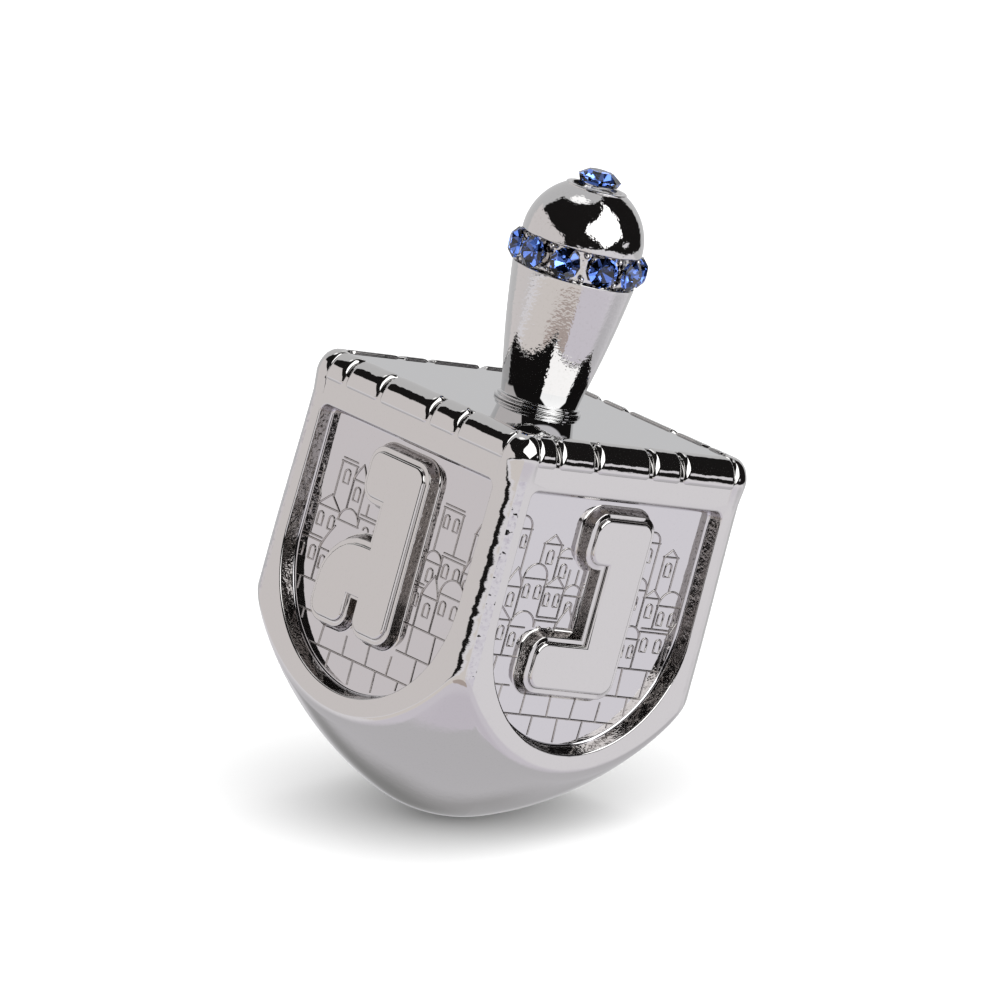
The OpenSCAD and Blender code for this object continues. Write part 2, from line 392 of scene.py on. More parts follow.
def skin_group() -> bpy.types.NodeTree:
    """The uneven skin of plated castings: a height and a mask of fine pits, shared by the metal finishes.

    Returns:
        A shader group with inputs for the sizes of its ripple and grain.
    """
    name = "plated_skin"
    if name in bpy.data.node_groups:
        return bpy.data.node_groups[name]
    tree = bpy.data.node_groups.new(name, "ShaderNodeTree")
    for label in ("Ripple Scale", "Ripple Share", "Grain Scale", "Grain Share"):
        tree.interface.new_socket(name=label, in_out="INPUT", socket_type="NodeSocketFloat")
    for label in ("Height", "Pits"):
        tree.interface.new_socket(name=label, in_out="OUTPUT", socket_type="NodeSocketFloat")
    nodes = Nodes(tree)
    given = nodes.add("NodeGroupInput").outputs
    place = nodes.add("ShaderNodeTexCoord").outputs["Object"]
    ripple = nodes.noise(place, given["Ripple Scale"])
    grain = nodes.noise(place, given["Grain Scale"])
    slow = nodes.math("MULTIPLY", ripple, given["Ripple Share"])
    fine = nodes.math("MULTIPLY", grain, given["Grain Share"])
    pits = nodes.rise(grain, *PIT_RANGE)
    nodes.add("NodeGroupOutput", {"Height": nodes.math("ADD", slow, fine), "Pits": pits})
    return tree


@dataclass(frozen=True)
class PlatedMetal:
    """A bright plated finish over cast or turned metal."""

    name: str
    colour: Colour
    shade: Colour
    roughness: float
    pit_roughness: float
    relief: float
    ripple_scale: float
    ripple_share: float
    grain_scale: float
    grain_share: float

    def material(self) -> bpy.types.Material:
        """Build the material.

        Returns:
            A metallic material whose pits are darker and duller.
        """
        made, nodes = new_material(self.name)
        sizes = {"Ripple Scale": self.ripple_scale, "Ripple Share": self.ripple_share,
                 "Grain Scale": self.grain_scale, "Grain Share": self.grain_share}
        group = nodes.add("ShaderNodeGroup", sizes, node_tree=skin_group())
        pits = group.outputs["Pits"]
        colour = nodes.mix(pits, self.colour, self.shade)
        rough = nodes.add("ShaderNodeMapRange", {"Value": pits, "To Min": self.roughness,
                                                 "To Max": self.pit_roughness})
        bump = nodes.add("ShaderNodeBump", {"Height": group.outputs["Height"], "Strength": 1.0,
                                            "Distance": self.relief * MM})
        shader = nodes.add("ShaderNodeBsdfPrincipled", {"Base Color": colour, "Metallic": 1.0,
                                                        "Roughness": rough.outputs[0],
                                                        "Normal": bump.outputs[0]})
        nodes.add("ShaderNodeOutputMaterial", {"Surface": shader.outputs[0]})
        return made


@dataclass(frozen=True)
class CutGlass:
    """Clear coloured glass of the stones."""

    name: str
    colour: Colour
    streak: Colour
    index: float
    gloss: float
    roughness: float
    streak_scale: float

    def material(self) -> bpy.types.Material:
        """Build the glass, with faint streaks in its colour.

        Returns:
            The material.
        """
        made, nodes = new_material(self.name)
        place = nodes.add("ShaderNodeTexCoord").outputs["Object"]
        colour = nodes.mix(nodes.noise(place, self.streak_scale), self.colour, self.streak)
        shader = nodes.add("ShaderNodeBsdfPrincipled", {"Base Color": colour, "Roughness": self.roughness,
                                                        "IOR": self.index, "Specular IOR Level": self.gloss,
                                                        "Transmission Weight": 1.0})
        nodes.add("ShaderNodeOutputMaterial", {"Surface": shader.outputs[0]})
        return made


PLATED_CASTING = PlatedMetal("plated_casting", (0.66, 0.65, 0.64), (0.645, 0.635, 0.625), 0.03, 0.05,
                             0.008, 1300.0, 0.85, 4200.0, 0.15)
PANEL_FLOOR = PlatedMetal("panel_floor", (0.645, 0.635, 0.65), (0.63, 0.62, 0.635), 0.03, 0.05,
                          0.008, 1200.0, 0.85, 4200.0, 0.15)
CORNER_CASTING = PlatedMetal("corner_casting", (0.66, 0.65, 0.64), (0.645, 0.635, 0.625), 0.03, 0.05,
                             0.04, 700.0, 0.95, 5000.0, 0.05)
SEAM_CASTING = PlatedMetal("seam_casting", (0.66, 0.65, 0.66), (0.5, 0.48, 0.52), 0.05, 0.12,
                           0.13, 900.0, 0.85, 2600.0, 0.15)
# rough walls of the sunk panels and plinths: the bump and duller pits are their rough texture; the darker
# base colour and the near-black pits are painted shade
ROUGH_CASTING_PAINTED_SHADE = PlatedMetal("rough_casting_painted_shade", (0.42, 0.4, 0.385), (0.1, 0.09, 0.085), 0.1, 0.25,
                            0.07, 1500.0, 0.55, 3600.0, 0.45)
RIB_CASTING = PlatedMetal("rib_casting", (0.47, 0.45, 0.44), (0.3, 0.28, 0.27), 0.06, 0.15,
                          0.02, 1500.0, 0.5, 3600.0, 0.5)
POLISHED_PLATE = PlatedMetal("polished_plate", (0.62, 0.62, 0.62), (0.6, 0.6, 0.6), 0.012, 0.02,
                             0.001, 300.0, 0.7, 2600.0, 0.3)
PLATED_STEM = PlatedMetal("plated_stem", (0.66, 0.65, 0.645), (0.63, 0.62, 0.61), 0.025, 0.05,
                          0.022, 1300.0, 0.35, 3300.0, 0.65)
FIXING_STEEL = PlatedMetal("fixing_steel", (0.52, 0.52, 0.53), (0.36, 0.36, 0.37), 0.28, 0.4,
                           0.02, 900.0, 0.4, 5000.0, 0.6)
FOIL_BACK = PlatedMetal("foil_back", (0.92, 0.92, 0.93), (0.8, 0.8, 0.82), 0.01, 0.03,
                        0.001, 1500.0, 0.5, 6000.0, 0.5)
BLUE_GLASS = CutGlass("blue_glass", (0.1, 0.2, 0.68), (0.14, 0.26, 0.76), 1.6, 0.05, 0.0, 900.0)


@dataclass
class Body:
    """The cast body: sunk panels, rolled top edge with blocks, swelling foot and blunt tip."""

    half_w: float = 15.5
    height: float = 40.3
    corner_r: float = 2.1
    roll_in: float = 1.8
    roll_up: float = 2.4
    block_rise: float = 0.2
    block_low: float = 37.7
    block_gap: float = 0.45
    foot_soft: float = 0.38
    end_soft: float = 0.56
    groove: float = 0.52
    block_shares: tuple[float, ...] = (0, 0.11, 0.3, 0.575, 0.73, 1)
    soft_steps: tuple[float, ...] = (0.0, 0.05, 0.14, 0.27, 0.42, 0.6, 0.8, 1.0)
    pad_power: float = 0.6
    post_at: float = 12.75
    post_soft: float = 0.6
    band_z: float = 36.2
    shelf_low: float = 20.0
    rim_w: float = 2.0
    rim_soft: float = 0.15
    rebate_z: float = 38.7
    rebate_r: float = 1.0
    turn_share: float = 0.6
    least_r: float = 0.2
    hollow_w: float = 12.05
    hollow_low: float = 16.0
    hollow_shares: tuple[float, ...] = (0.75, 0.5, 0.25, 0.0)
    foot_wall: float = 3.0
    nose_r: float = 13.5
    nose_angle: float = math.radians(24.6)
    flank_r: float = 32.7
    edge_up: float = 0.8
    edge_in: float = 0.75
    edge_flare: float = 0.2
    panel_half: float = 12.55
    panel_top: float = 35.4
    panel_foot: float = 2.25
    panel_corner: float = 0.9
    panel_depth: float = 1.65
    lip_r: float = 0.2
    wall_draft: float = math.radians(11)
    floor_r: float = 0.32
    arc_start: float = math.radians(29)
    corner_steps: int = 14
    side_rows: int = 26
    half_arc: int = 6
    roll_steps: int = 22
    rim_steps: int = 4
    lip_steps: int = 6
    floor_steps: int = 5
    edge_steps: int = 6
    foot_steps: int = 22
    column_step: float = 0.6
    least_step: float = 0.012
    seam: Flat = (math.radians(56), math.radians(83))

    def profile_z(self, r: float, inset: float = 0.0) -> float:
        """Height of the turned foot at a radius.

        Args:
            r: the distance from the axis.
            inset: how far inside the outer foot.
        Returns:
            The height above the tip.
        """
        nose = self.nose_r - inset
        flank = self.flank_r - inset
        hub_x = (self.nose_r - self.flank_r) * math.sin(self.nose_angle)
        hub_z = self.nose_r + (self.flank_r - self.nose_r) * math.cos(self.nose_angle)
        if r <= nose * math.sin(self.nose_angle):
            return self.nose_r - math.sqrt(nose * nose - r * r)
        return hub_z - math.sqrt(max(0.0, flank * flank - (r - hub_x) ** 2))

    def straight(self) -> float:
        """Half the straight length of a face, between the rounded corners."""
        return self.half_w - self.corner_r

    def blocks(self) -> list[Flat]:
        """Find the blocks along a face.

        Returns:
            The left and right end of each block.
        """
        run = 2 * self.straight() - self.block_gap
        cuts = [share * run - run / 2 for share in self.block_shares]
        return [(a + self.block_gap / 2, b - self.block_gap / 2) for a, b in zip(cuts, cuts[1:])]

    def panel_hub(self) -> float:
        """Height of the centre of a panel's round foot."""
        return self.profile_z(self.half_w) + self.panel_foot + self.panel_half

    def floor_y(self) -> float:
        """Where the floor of the front panel is, along y."""
        return self.panel_depth - self.half_w

    def levels(self, low: float) -> list[float]:
        """Heights of the rows of an upright side, from the top band down to a foot."""
        return [self.band_z + (low - self.band_z) * i / self.side_rows for i in range(self.side_rows + 1)]

    def columns(self) -> list[float]:
        """Choose the columns of points along a face, close where blocks end.

        Returns:
            Places as shares of half the straight length.
        """
        places = {-self.straight(), self.straight(), 0.0}
        for left, right in self.blocks():
            places.update(left + self.end_soft * step for step in self.soft_steps)
            places.update(right - self.end_soft * step for step in self.soft_steps)
        for step in self.soft_steps:
            places.update((self.post_at + self.end_soft * step, -self.post_at - self.end_soft * step))
        kept: list[float] = []
        for place in sorted(round(p, 3) for p in places if abs(p) <= self.straight() + 1e-6):
            if kept and place - kept[-1] <= self.least_step:
                continue
            extra = math.ceil((place - kept[-1]) / self.column_step) - 1 if kept else 0
            start = kept[-1] if kept else place
            kept += [start + (place - start) * (i + 1) / (extra + 1) for i in range(extra)]
            kept.append(place)
        kept[-1] = self.straight()
        return [place / self.straight() for place in kept]

    def pad(self, along: float, up: float) -> float:
        """Height of a soft pad's edge.

        Args:
            along: distance inside the pad's end.
            up: distance inside the pad's foot.
        Returns:
            0 outside the pad and 1 on its flat.
        """
        a = max(0.0, 1 - along / self.end_soft)
        b = max(0.0, 1 - up / self.foot_soft)
        return max(0.0, 1 - a * a - b * b) ** self.pad_power

    def relief(self, u: float, rise: float) -> float:
        """Depth of the shelf and grooves under the blocks' level.

        Args:
            u: place along the face.
            rise: height above the blocks' foot, measured up the section.
        Returns:
            The depth in millimetres.
        """
        top = self.pad(abs(u) - self.post_at, self.foot_soft) * self.post(rise)
        for left, right in self.blocks():
            top = max(top, self.pad(min(u - left, right - u), rise))
        deep = self.block_rise + (self.groove - self.block_rise) * smooth_step(0.0, self.roll_up, rise)
        return deep * (1 - top)

    def post(self, rise: float) -> float:
        """How far a corner has come out to the blocks' level, at a height above the blocks' foot."""
        return smooth_step(self.band_z - self.block_low, self.post_soft, rise)

    def shelf(self, z: float) -> float:
        """How far a face leans in at a height, so that the blocks stand out of it."""
        return self.block_rise * smooth_step(self.shelf_low, self.band_z, z)

    def ring(self, half: float, radius: float, column: Optional[float], angle: float) -> Flat:
        """A point of a rounded square, on the front face or the corner at its right.

        Args:
            half: half the square's width.
            radius: its corner radius.
            column: share along the front face, or None on the corner.
            angle: angle round the corner, from the front face.
        Returns:
            x and y.
        """
        reach = half - radius
        if column is not None:
            return (column * reach, -half)
        return (reach + radius * math.sin(angle), -reach - radius * math.cos(angle))

    def stations(self) -> list[tuple[Optional[float], float]]:
        """Columns of the front face and of the corner at its right, in order round the body."""
        corner = [(None, angle) for angle in quarter(self.corner_steps)[1:-1]]
        return [(column, 0.0) for column in self.columns()] + corner

    def round_body(self, place: Callable[[Optional[float], float], Point]) -> list[Point]:
        """Repeat a function of a station on all four sides.

        Args:
            place: gives a point for a column and a corner angle, on the front side.
        Returns:
            A closed ring of points.
        """
        spots = [place(column, angle) for column, angle in self.stations()]
        return [turned(spot, side) for side in Side for spot in spots]

    def band_sections(self) -> list[tuple[float, float, float, float, float]]:
        """Rows of the top band.

        Returns:
            Depth, height, outward and upward parts of the normal, and height above the blocks' foot.
        """
        top = self.height + self.block_rise
        rises = [self.band_z - self.block_low] + [self.foot_soft * share for share in self.soft_steps]
        rows = [(0.0, self.block_low + rise, 1.0, 0.0, rise) for rise in rises]
        for angle in quarter(self.roll_steps):
            out, up = math.cos(angle) / self.roll_in, math.sin(angle) / self.roll_up
            size = math.hypot(out, up)
            z = top - self.roll_up * (1 - math.sin(angle))
            rows.append((self.roll_in * (1 - math.cos(angle)), z, out / size, up / size, z - self.block_low))
        for angle in quarter(self.rim_steps):
            rows.append((self.rim_w - self.rim_soft * (1 - math.sin(angle)),
                         top - self.rim_soft * (1 - math.cos(angle)), 0.0, 1.0, self.roll_up))
        return rows

    def band_row(self, section: tuple[float, float, float, float, float]) -> list[Point]:
        """One ring of the top band, with the blocks standing out of it.

        Args:
            section: a row of band_sections.
        Returns:
            The ring's points.
        """
        depth, z, out, up, rise = section
        half = self.half_w - depth
        share = smooth_step(self.roll_in * self.turn_share, self.rim_w, depth)
        radius = (self.corner_r - depth) * (1 - share) + self.rebate_r * share

        def place(column: Optional[float], angle: float) -> Point:
            """Find the ring's point at a station.

            Args:
                column: share along the front face, or None on the corner.
                angle: angle round the corner.
            Returns:
                The point.
            """
            x, y = self.ring(half, max(radius, self.least_r), column, angle)
            corner = self.block_rise * (1 - self.post(rise))
            drop = corner if column is None else self.relief(column * self.straight(), rise)
            lean = math.sin(angle), math.cos(angle)
            return (x - drop * out * lean[0], y + drop * out * lean[1], z - drop * up)

        return self.round_body(place)

    def crease(self, column: Optional[float], angle: float) -> Point:
        """The point under a station where the upright side meets the turned foot."""
        x, y = self.ring(self.half_w, self.corner_r, column, angle)
        return (x, y, self.profile_z(math.hypot(x, y)))

    def edge_point(self, column: Optional[float], angle: float, share: float) -> Point:
        """Find a point of the soft edge between side and foot.

        Args:
            column: share along the front face, or None on the corner.
            angle: angle round the corner.
            share: 0 at the side and 1 at the foot.
        Returns:
            The point.
        """
        x, y, z = self.crease(column, angle)
        r = math.hypot(x, y)
        inner = r - self.edge_in
        start = (x, y, z + self.edge_up * (1 + self.edge_flare * math.sin(2 * angle) ** 2))
        end = (x * inner / r, y * inner / r, self.profile_z(inner))
        a, b, c = (1 - share) ** 2, 2 * share * (1 - share), share * share
        return tuple(a * s + b * m + c * e for s, m, e in zip(start, (x, y, z), end))

    def head_corner(self, end: int, start: float) -> list[Spot]:
        """Half of a rounded corner at the panel's head.

        Args:
            end: -1 for the left corner and 1 for the right one.
            start: the angle in degrees from which it turns down to the right by 45.
        Returns:
            Points with their outward normals.
        """
        hub = (end * (self.panel_half - self.panel_corner), self.panel_top - self.panel_corner)
        turns = [math.radians(start - 45 * i / (self.half_arc - 1)) for i in range(self.half_arc)]
        return [on_arc(hub, self.panel_corner, turn) for turn in turns]

    def panel_outline(self) -> list[Spot]:
        """Draw the panel's outline, clockwise from the middle of its left head corner.

        Returns:
            Points with their outward normals.
        """
        columns = self.columns()
        hub_z = self.panel_hub()
        reach = self.panel_half - self.panel_corner
        inner = len(columns) - 2 * self.half_arc
        across = [-reach + 2 * reach * (i + 1) / (inner + 1) for i in range(inner)]
        head = [((u, self.panel_top), (0.0, 1.0)) for u in across]
        down = self.side_path(hub_z)
        swing = math.cos(self.arc_start)
        foot: list[Spot] = []
        for column in reversed(columns):
            normal = (column * swing, -math.sqrt(1 - (column * swing) ** 2))
            foot.append(((self.panel_half * normal[0], hub_z + self.panel_half * normal[1]), normal))
        back = [((-u, z), (-nu, nz)) for (u, z), (nu, nz) in reversed(down)]
        return self.head_corner(-1, 135) + head + self.head_corner(1, 90) + down + foot + back

    def side_path(self, hub_z: float) -> list[Spot]:
        """Draw the outline's right side, between the head corner's middle and the foot's arc.

        Args:
            hub_z: height of the centre of the foot's arc.
        Returns:
            Points with their outward normals.
        """
        head = self.panel_top - self.panel_corner
        steps = self.head_corner(1, 45)[1:]
        rest = self.side_rows - self.half_arc
        lengths = (head - hub_z, self.panel_half * self.arc_start)
        for i in range(1, rest + 1):
            way = sum(lengths) * i / (rest + 1)
            if way < lengths[0]:
                steps.append(((self.panel_half, head - way), (1.0, 0.0)))
            else:
                steps.append(on_arc((0.0, hub_z), self.panel_half, (lengths[0] - way) / self.panel_half))
        return steps

    def panel_sections(self) -> list[tuple[float, float, int]]:
        """List the rows of a panel, from the face to the floor.

        Returns:
            Inset, depth and material slot of each row.
        """
        rows: list[tuple[float, float, int]] = []
        upright = math.pi / 2 - self.wall_draft
        for i in range(self.lip_steps + 1):
            a = upright * i / self.lip_steps
            rows.append((self.lip_r * (math.sin(a) - 1), self.lip_r * (1 - math.cos(a)), Slot.CASTING))
        inset, depth, _ = rows[-1]
        foot = self.panel_depth - self.floor_r * (1 - math.sin(self.wall_draft))
        inset += (foot - depth) * math.tan(self.wall_draft)
        rows.append((inset, foot, Slot.WALL))
        hub = (inset + self.floor_r * math.cos(self.wall_draft), self.panel_depth - self.floor_r)
        for i in range(1, self.floor_steps + 1):
            a = self.wall_draft + upright * i / self.floor_steps
            spot, _ = on_arc(hub, self.floor_r, math.pi - a)
            rows.append((*spot, Slot.FLOOR))
        return rows

    def side_outline(self) -> list[Point]:
        """Draw the ring round a face that its panel's outline is joined to.

        Returns:
            Points in the order of the panel's outline.
        """
        columns = self.columns()
        level = self.band_z - self.block_low
        top = [(c * self.straight(), self.relief(c * self.straight(), level) - self.half_w, self.band_z)
               for c in columns]
        foot = [self.edge_point(c, 0.0, 0.0) for c in columns]
        heights = self.levels(foot[-1][2])[1:-1]
        down = [(self.straight(), self.shelf(z) - self.half_w, z) for z in heights]
        left = [(-x, y, z) for x, y, z in reversed(down)]
        return top + down + list(reversed(foot)) + left

    def add_panel(self, skin: Skin, side: Side) -> None:
        """Add a face with its sunk panel.

        Args:
            skin: the body's skin.
            side: the face.
        """
        outline = self.panel_outline()
        rings: list[list[Point]] = []
        slots: list[int] = []
        for inset, depth, slot in self.panel_sections():
            ring = []
            for (u, z), (nu, nz) in outline:
                shelf = self.shelf(z) * (1 - smooth_step(0.0, self.panel_depth, depth))
                ring.append((u - inset * nu, depth + shelf - self.half_w, z - inset * nz))
            rings.append([turned(spot, side) for spot in ring])
            slots.append(slot)
        skin.strip([turned(spot, side) for spot in self.side_outline()], rings[0])
        for one, two, slot in zip(rings, rings[1:], slots[1:]):
            skin.strip(one, two, slot=slot)
        skin.face(rings[-1], Slot.FLOOR)

    def add_corner(self, skin: Skin, side: Side) -> None:
        """Add the rounded upright corner at the right of a face.

        Args:
            skin: the body's skin.
            side: the face.
        """
        angles = quarter(self.corner_steps)
        rows = []
        for angle in angles:
            heights = self.levels(self.edge_point(None, angle, 0.0)[2])
            row = [(*self.ring(self.half_w - self.shelf(z), self.corner_r - self.shelf(z), None, angle), z)
                   for z in heights]
            rows.append([turned(spot, side) for spot in row])
        for angle, one, two in zip(angles, rows, rows[1:]):
            seam = self.seam[0] < angle < self.seam[1]
            skin.strip(one, two, closed=False, slot=Slot.SEAM if seam else Slot.CORNER)

    def add_foot(self, skin: Skin) -> None:
        """Add the soft edge under the sides and the turned foot down to the tip.

        Args:
            skin: the body's skin.
        """
        shares = [step / self.edge_steps for step in range(self.edge_steps + 1)]
        rows = [self.round_body(lambda c, a, s=share: self.edge_point(c, a, s)) for share in shares]
        for step in range(1, self.foot_steps + 1):
            share = 1 - step / self.foot_steps

            def place(column: Optional[float], angle: float) -> Point:
                """Find the foot's point under a station.

                Args:
                    column: share along the front face, or None on the corner.
                    angle: angle round the corner.
                Returns:
                    The point.
                """
                x, y, _ = self.crease(column, angle)
                r = math.hypot(x, y)
                now = (r - self.edge_in) * share
                return (x * now / r, y * now / r, self.profile_z(now))

            rows.append(self.round_body(place))
        skin.rows(rows)

    def add_inside(self, skin: Skin, rim: list[Point]) -> None:
        """Add the rebate for the top plate and the hollow under it.

        Args:
            skin: the body's skin.
            rim: the top band's last ring.
        """
        def square(half: float, radius: float, z: float) -> list[Point]:
            """A level ring of the inside."""
            return self.round_body(lambda c, a: (*self.ring(half, radius, c, a), z))

        rebate = self.half_w - self.rim_w
        rows = [rim, square(rebate, self.rebate_r, self.rebate_z),
                square(self.hollow_w, self.corner_r, self.rebate_z),
                square(self.hollow_w, self.corner_r, self.hollow_low)]
        for share in self.hollow_shares:
            half = self.hollow_w * share
            level = self.profile_z(half, self.foot_wall) if share else self.foot_wall
            rows.append(self.round_body(
                lambda c, a, h=half, s=share, z=level: (*self.ring(h, self.corner_r * s, c, a), z)))
        skin.rows(rows)

    def build(self, finishes: Sequence[bpy.types.Material]) -> bpy.types.Object:
        """Make the body.

        Args:
            finishes: one material for each slot, in order.
        Returns:
            The finished piece.
        """
        skin = Skin()
        sections = self.band_sections()
        band = [self.band_row(section) for section in sections]
        for section, one, two in zip(sections, band, band[1:]):
            skin.strip(one, two, slot=Slot.CORNER if section[0] > 0 else Slot.CASTING)
        for side in Side:
            self.add_panel(skin, side)
            self.add_corner(skin, side)
        self.add_foot(skin)
        self.add_inside(skin, band[-1])
        piece = skin.to_object("cast_body", finishes)
        return hand_over(piece, "plated_casting", "body")


@dataclass(frozen=True)
class Corner:
    """A corner of a letter: its place, its rounding, and how far the side after it flares, as a share."""

    x: float
    y: float
    soft: float = 0.0
    flare: float = 1.0


def flared(corners: Sequence[Corner], steps: int) -> list[Spot]:
    """Draw an outline of square corners, the outer ones rounded and the inner ones sharp.

    Args:
        corners: the corners, counter-clockwise.
        steps: steps in each rounding.
    Returns:
        Points, each with the way it moves where the outline is set out.
    """
    outline: list[Spot] = []
    for i, corner in enumerate(corners):
        last, following = corners[i - 1], corners[(i + 1) % len(corners)]
        before = Vector((corner.x - last.x, corner.y - last.y)).normalized()
        after = Vector((following.x - corner.x, following.y - corner.y)).normalized()
        one, two = Vector((before.y, -before.x)), Vector((after.y, -after.x))
        if before.x * after.y - before.y * after.x < 0:
            way = one * last.flare + two * corner.flare
            outline.append(((corner.x, corner.y), (way.x, way.y)))
            continue
        hub = Vector((corner.x, corner.y)) - (one + two) * corner.soft
        for k, angle in enumerate(quarter(steps)):
            normal = one * math.cos(angle) + two * math.sin(angle)
            spot = hub + normal * corner.soft
            way = normal * (last.flare + (corner.flare - last.flare) * k / steps)
            outline.append(((spot.x, spot.y), (way.x, way.y)))
    return outline


@dataclass
class Letters:
    """The raised letters of the game, each on its plinth on the floor of a panel."""

    body: Body
    height: float = 16.3
    stroke: float = 3.8
    drop: float = 2.25
    rise: float = 1.55
    step: float = 0.4
    plinth_w: float = 0.92
    foot_w: float = 1.32
    slope_w: float = 0.4
    shoulder: float = 0.31
    sunk: float = 0.06
    soft: float = 0.95
    nun_right: float = 3.85
    nun_w: float = 9.95
    nun_head: float = 6.25
    gimel_right: float = 3.15
    gimel_w: float = 9.65
    gimel_head: float = 6.75
    leg_h: float = 7.2
    leg_r: float = 4.25
    notch_w: float = 2.1
    notch_flare: float = 0.62
    wide: float = 12.6
    short_leg: float = 9.4
    prong: float = 2.4
    prong_flare: float = 0.82
    steps: int = 7
    foot_curve: tuple[Flat, ...] = ((0.1, 0.0), (0.01, 0.03), (-0.06, 0.11), (-0.1, 0.24))
    ledge_r: float = 0.12
    ledge_turns: tuple[int, ...] = (14, 33, 52, 71, 90)
    crease_curve: tuple[Flat, ...] = ((0.07, 0.0), (0.02, 0.02), (0.0, 0.07))
    shoulder_turns: tuple[int, ...] = (6, 16, 26, 36, 46, 56, 66, 76, 85, 90)

    def foot_z(self) -> float:
        """Height of the letters' feet above the tip."""
        return self.body.panel_top - self.drop - self.height

    def nun(self) -> list[list[Corner]]:
        """Draw the letter with a long foot and a short head.

        Returns:
            Its one outline.
        """
        right, left = self.nun_right, self.nun_right - self.nun_w
        head, inner = right - self.nun_head, right - self.stroke
        top, low = self.height, self.height - self.stroke
        return [[Corner(left, 0, self.soft), Corner(right, 0, self.soft), Corner(right, top, self.soft),
                 Corner(head, top, self.soft), Corner(head, low, self.soft), Corner(inner, low),
                 Corner(inner, self.stroke), Corner(left, self.stroke, self.soft)]]

    def gimel(self) -> list[list[Corner]]:
        """Draw the letter with an upright and a bent leg.

        Returns:
            Its one outline.
        """
        right, left = self.gimel_right, self.gimel_right - self.gimel_w
        head, inner = right - self.gimel_head, right - self.stroke
        top, low = self.height, self.height - self.stroke
        notch = self.leg_h - self.leg_r
        leg = inner - self.notch_w
        return [[Corner(inner, 0, self.soft), Corner(right, 0, self.soft), Corner(right, top, self.soft),
                 Corner(head, top, self.soft), Corner(head, low, self.soft), Corner(inner, low),
                 Corner(inner, self.leg_h), Corner(left, self.leg_h, self.leg_r), Corner(left, 0, self.soft),
                 Corner(leg, 0, self.soft, self.notch_flare), Corner(leg, notch, 0.0, self.notch_flare),
                 Corner(inner, notch, 0.0, self.notch_flare)]]

    def shin(self) -> list[list[Corner]]:
        """Draw the letter with three prongs on a broad foot.

        Returns:
            Its one outline.
        """
        half, mid, top, soft = self.wide / 2, self.prong / 2, self.height, self.soft
        gap, bar, flare = half - self.prong, self.stroke, self.prong_flare
        return [[Corner(-half, 0, soft), Corner(half, 0, soft), Corner(half, top, soft),
                 Corner(gap, top, soft, flare), Corner(gap, bar, 0.0, flare), Corner(mid, bar, 0.0, flare),
                 Corner(mid, top, soft), Corner(-mid, top, soft, flare), Corner(-mid, bar, 0.0, flare),
                 Corner(-gap, bar, 0.0, flare), Corner(-gap, top, soft), Corner(-half, top, soft)]]

    def hei(self) -> list[list[Corner]]:
        """Draw the gate-shaped letter and its separate leg.

        Returns:
            Its two outlines.
        """
        half, top, low, soft = self.wide / 2, self.height, self.height - self.stroke, self.soft
        inner = half - self.stroke
        return [[Corner(inner, 0, soft), Corner(half, 0, soft), Corner(half, top, soft),
                 Corner(-half, top, soft), Corner(-half, low, soft), Corner(inner, low)],
                [Corner(-half, 0, soft), Corner(-inner, 0, soft), Corner(-inner, self.short_leg, soft),
                 Corner(-half, self.short_leg, soft)]]

    def outlines(self, side: Side) -> list[list[Corner]]:
        """Outlines of the letter on a face."""
        drawn = {Side.FRONT: self.gimel, Side.RIGHT: self.nun, Side.BACK: self.shin, Side.LEFT: self.hei}
        return drawn[side]()

    def covers(self, side: Side, u: float, z: float) -> bool:
        """Whether the letter of a face, on its plinth, covers a spot of its panel."""
        y = z - self.foot_z()
        return any(self.inside(corners, u, y, self.foot_w) for corners in self.outlines(side))

    def inside(self, corners: Sequence[Corner], x: float, y: float, clear: float) -> bool:
        """Whether a place is on a letter or close to it.

        Args:
            corners: the letter's outline.
            x: the place across the letter.
            y: the place above its foot.
            clear: the distance from a side that still counts.
        Returns:
            True on the letter and near its sides.
        """
        odd = False
        for one, two in zip(corners, corners[1:] + corners[:1]):
            if abs(x - min(max(x, min(one.x, two.x)), max(one.x, two.x))) < clear:
                if abs(y - min(max(y, min(one.y, two.y)), max(one.y, two.y))) < clear:
                    return True
            if (one.y > y) != (two.y > y) and x < one.x:
                odd = not odd
        return odd

    def sections(self) -> list[Flat]:
        """List the rows up a letter's side.

        Returns:
            How far out and how high each row is.
        """
        foot, slope, ledge_r, round_r = self.foot_w, self.slope_w, self.ledge_r, self.shoulder
        shelf = self.rise - self.step
        ledge = (self.plinth_w - ledge_r, shelf - ledge_r)
        shoulder = (slope - round_r, self.rise - round_r)
        rows = [(foot + self.foot_curve[0][0], -self.sunk)]
        rows += [(foot + out, up) for out, up in self.foot_curve]
        rows += [on_arc(ledge, ledge_r, math.radians(turn))[0] for turn in self.ledge_turns]
        rows += [(slope + out, shelf + up) for out, up in self.crease_curve]
        rows += [on_arc(shoulder, round_r, math.radians(turn))[0] for turn in self.shoulder_turns]
        return rows

    def build(self, side: Side, name: str, finish: bpy.types.Material,
              wall: bpy.types.Material) -> bpy.types.Object:
        """Make the letter of one face.

        Args:
            side: the face.
            name: the piece's name.
            finish: the plated skin.
            wall: the rough skin of the plinth's side, darkened by painted shade.
        Returns:
            The finished piece.
        """
        skin = Skin()
        floor, foot = self.body.floor_y(), self.foot_z()
        wall_row = len(self.foot_curve)
        for corners in self.outlines(side):
            outline = flared(corners, self.steps)
            rings = []
            for out, up in self.sections():
                ring = [(u + out * wu, floor - up, foot + v + out * wv) for (u, v), (wu, wv) in outline]
                rings.append([turned(spot, side) for spot in ring])
            skin.face(rings[0])
            for row, (one, two) in enumerate(zip(rings, rings[1:])):
                skin.strip(one, two, slot=Slot.WALL if row == wall_row else Slot.CASTING)
            skin.face(rings[-1])
        return hand_over(skin.to_object(name, [finish, wall]), "plated_casting")


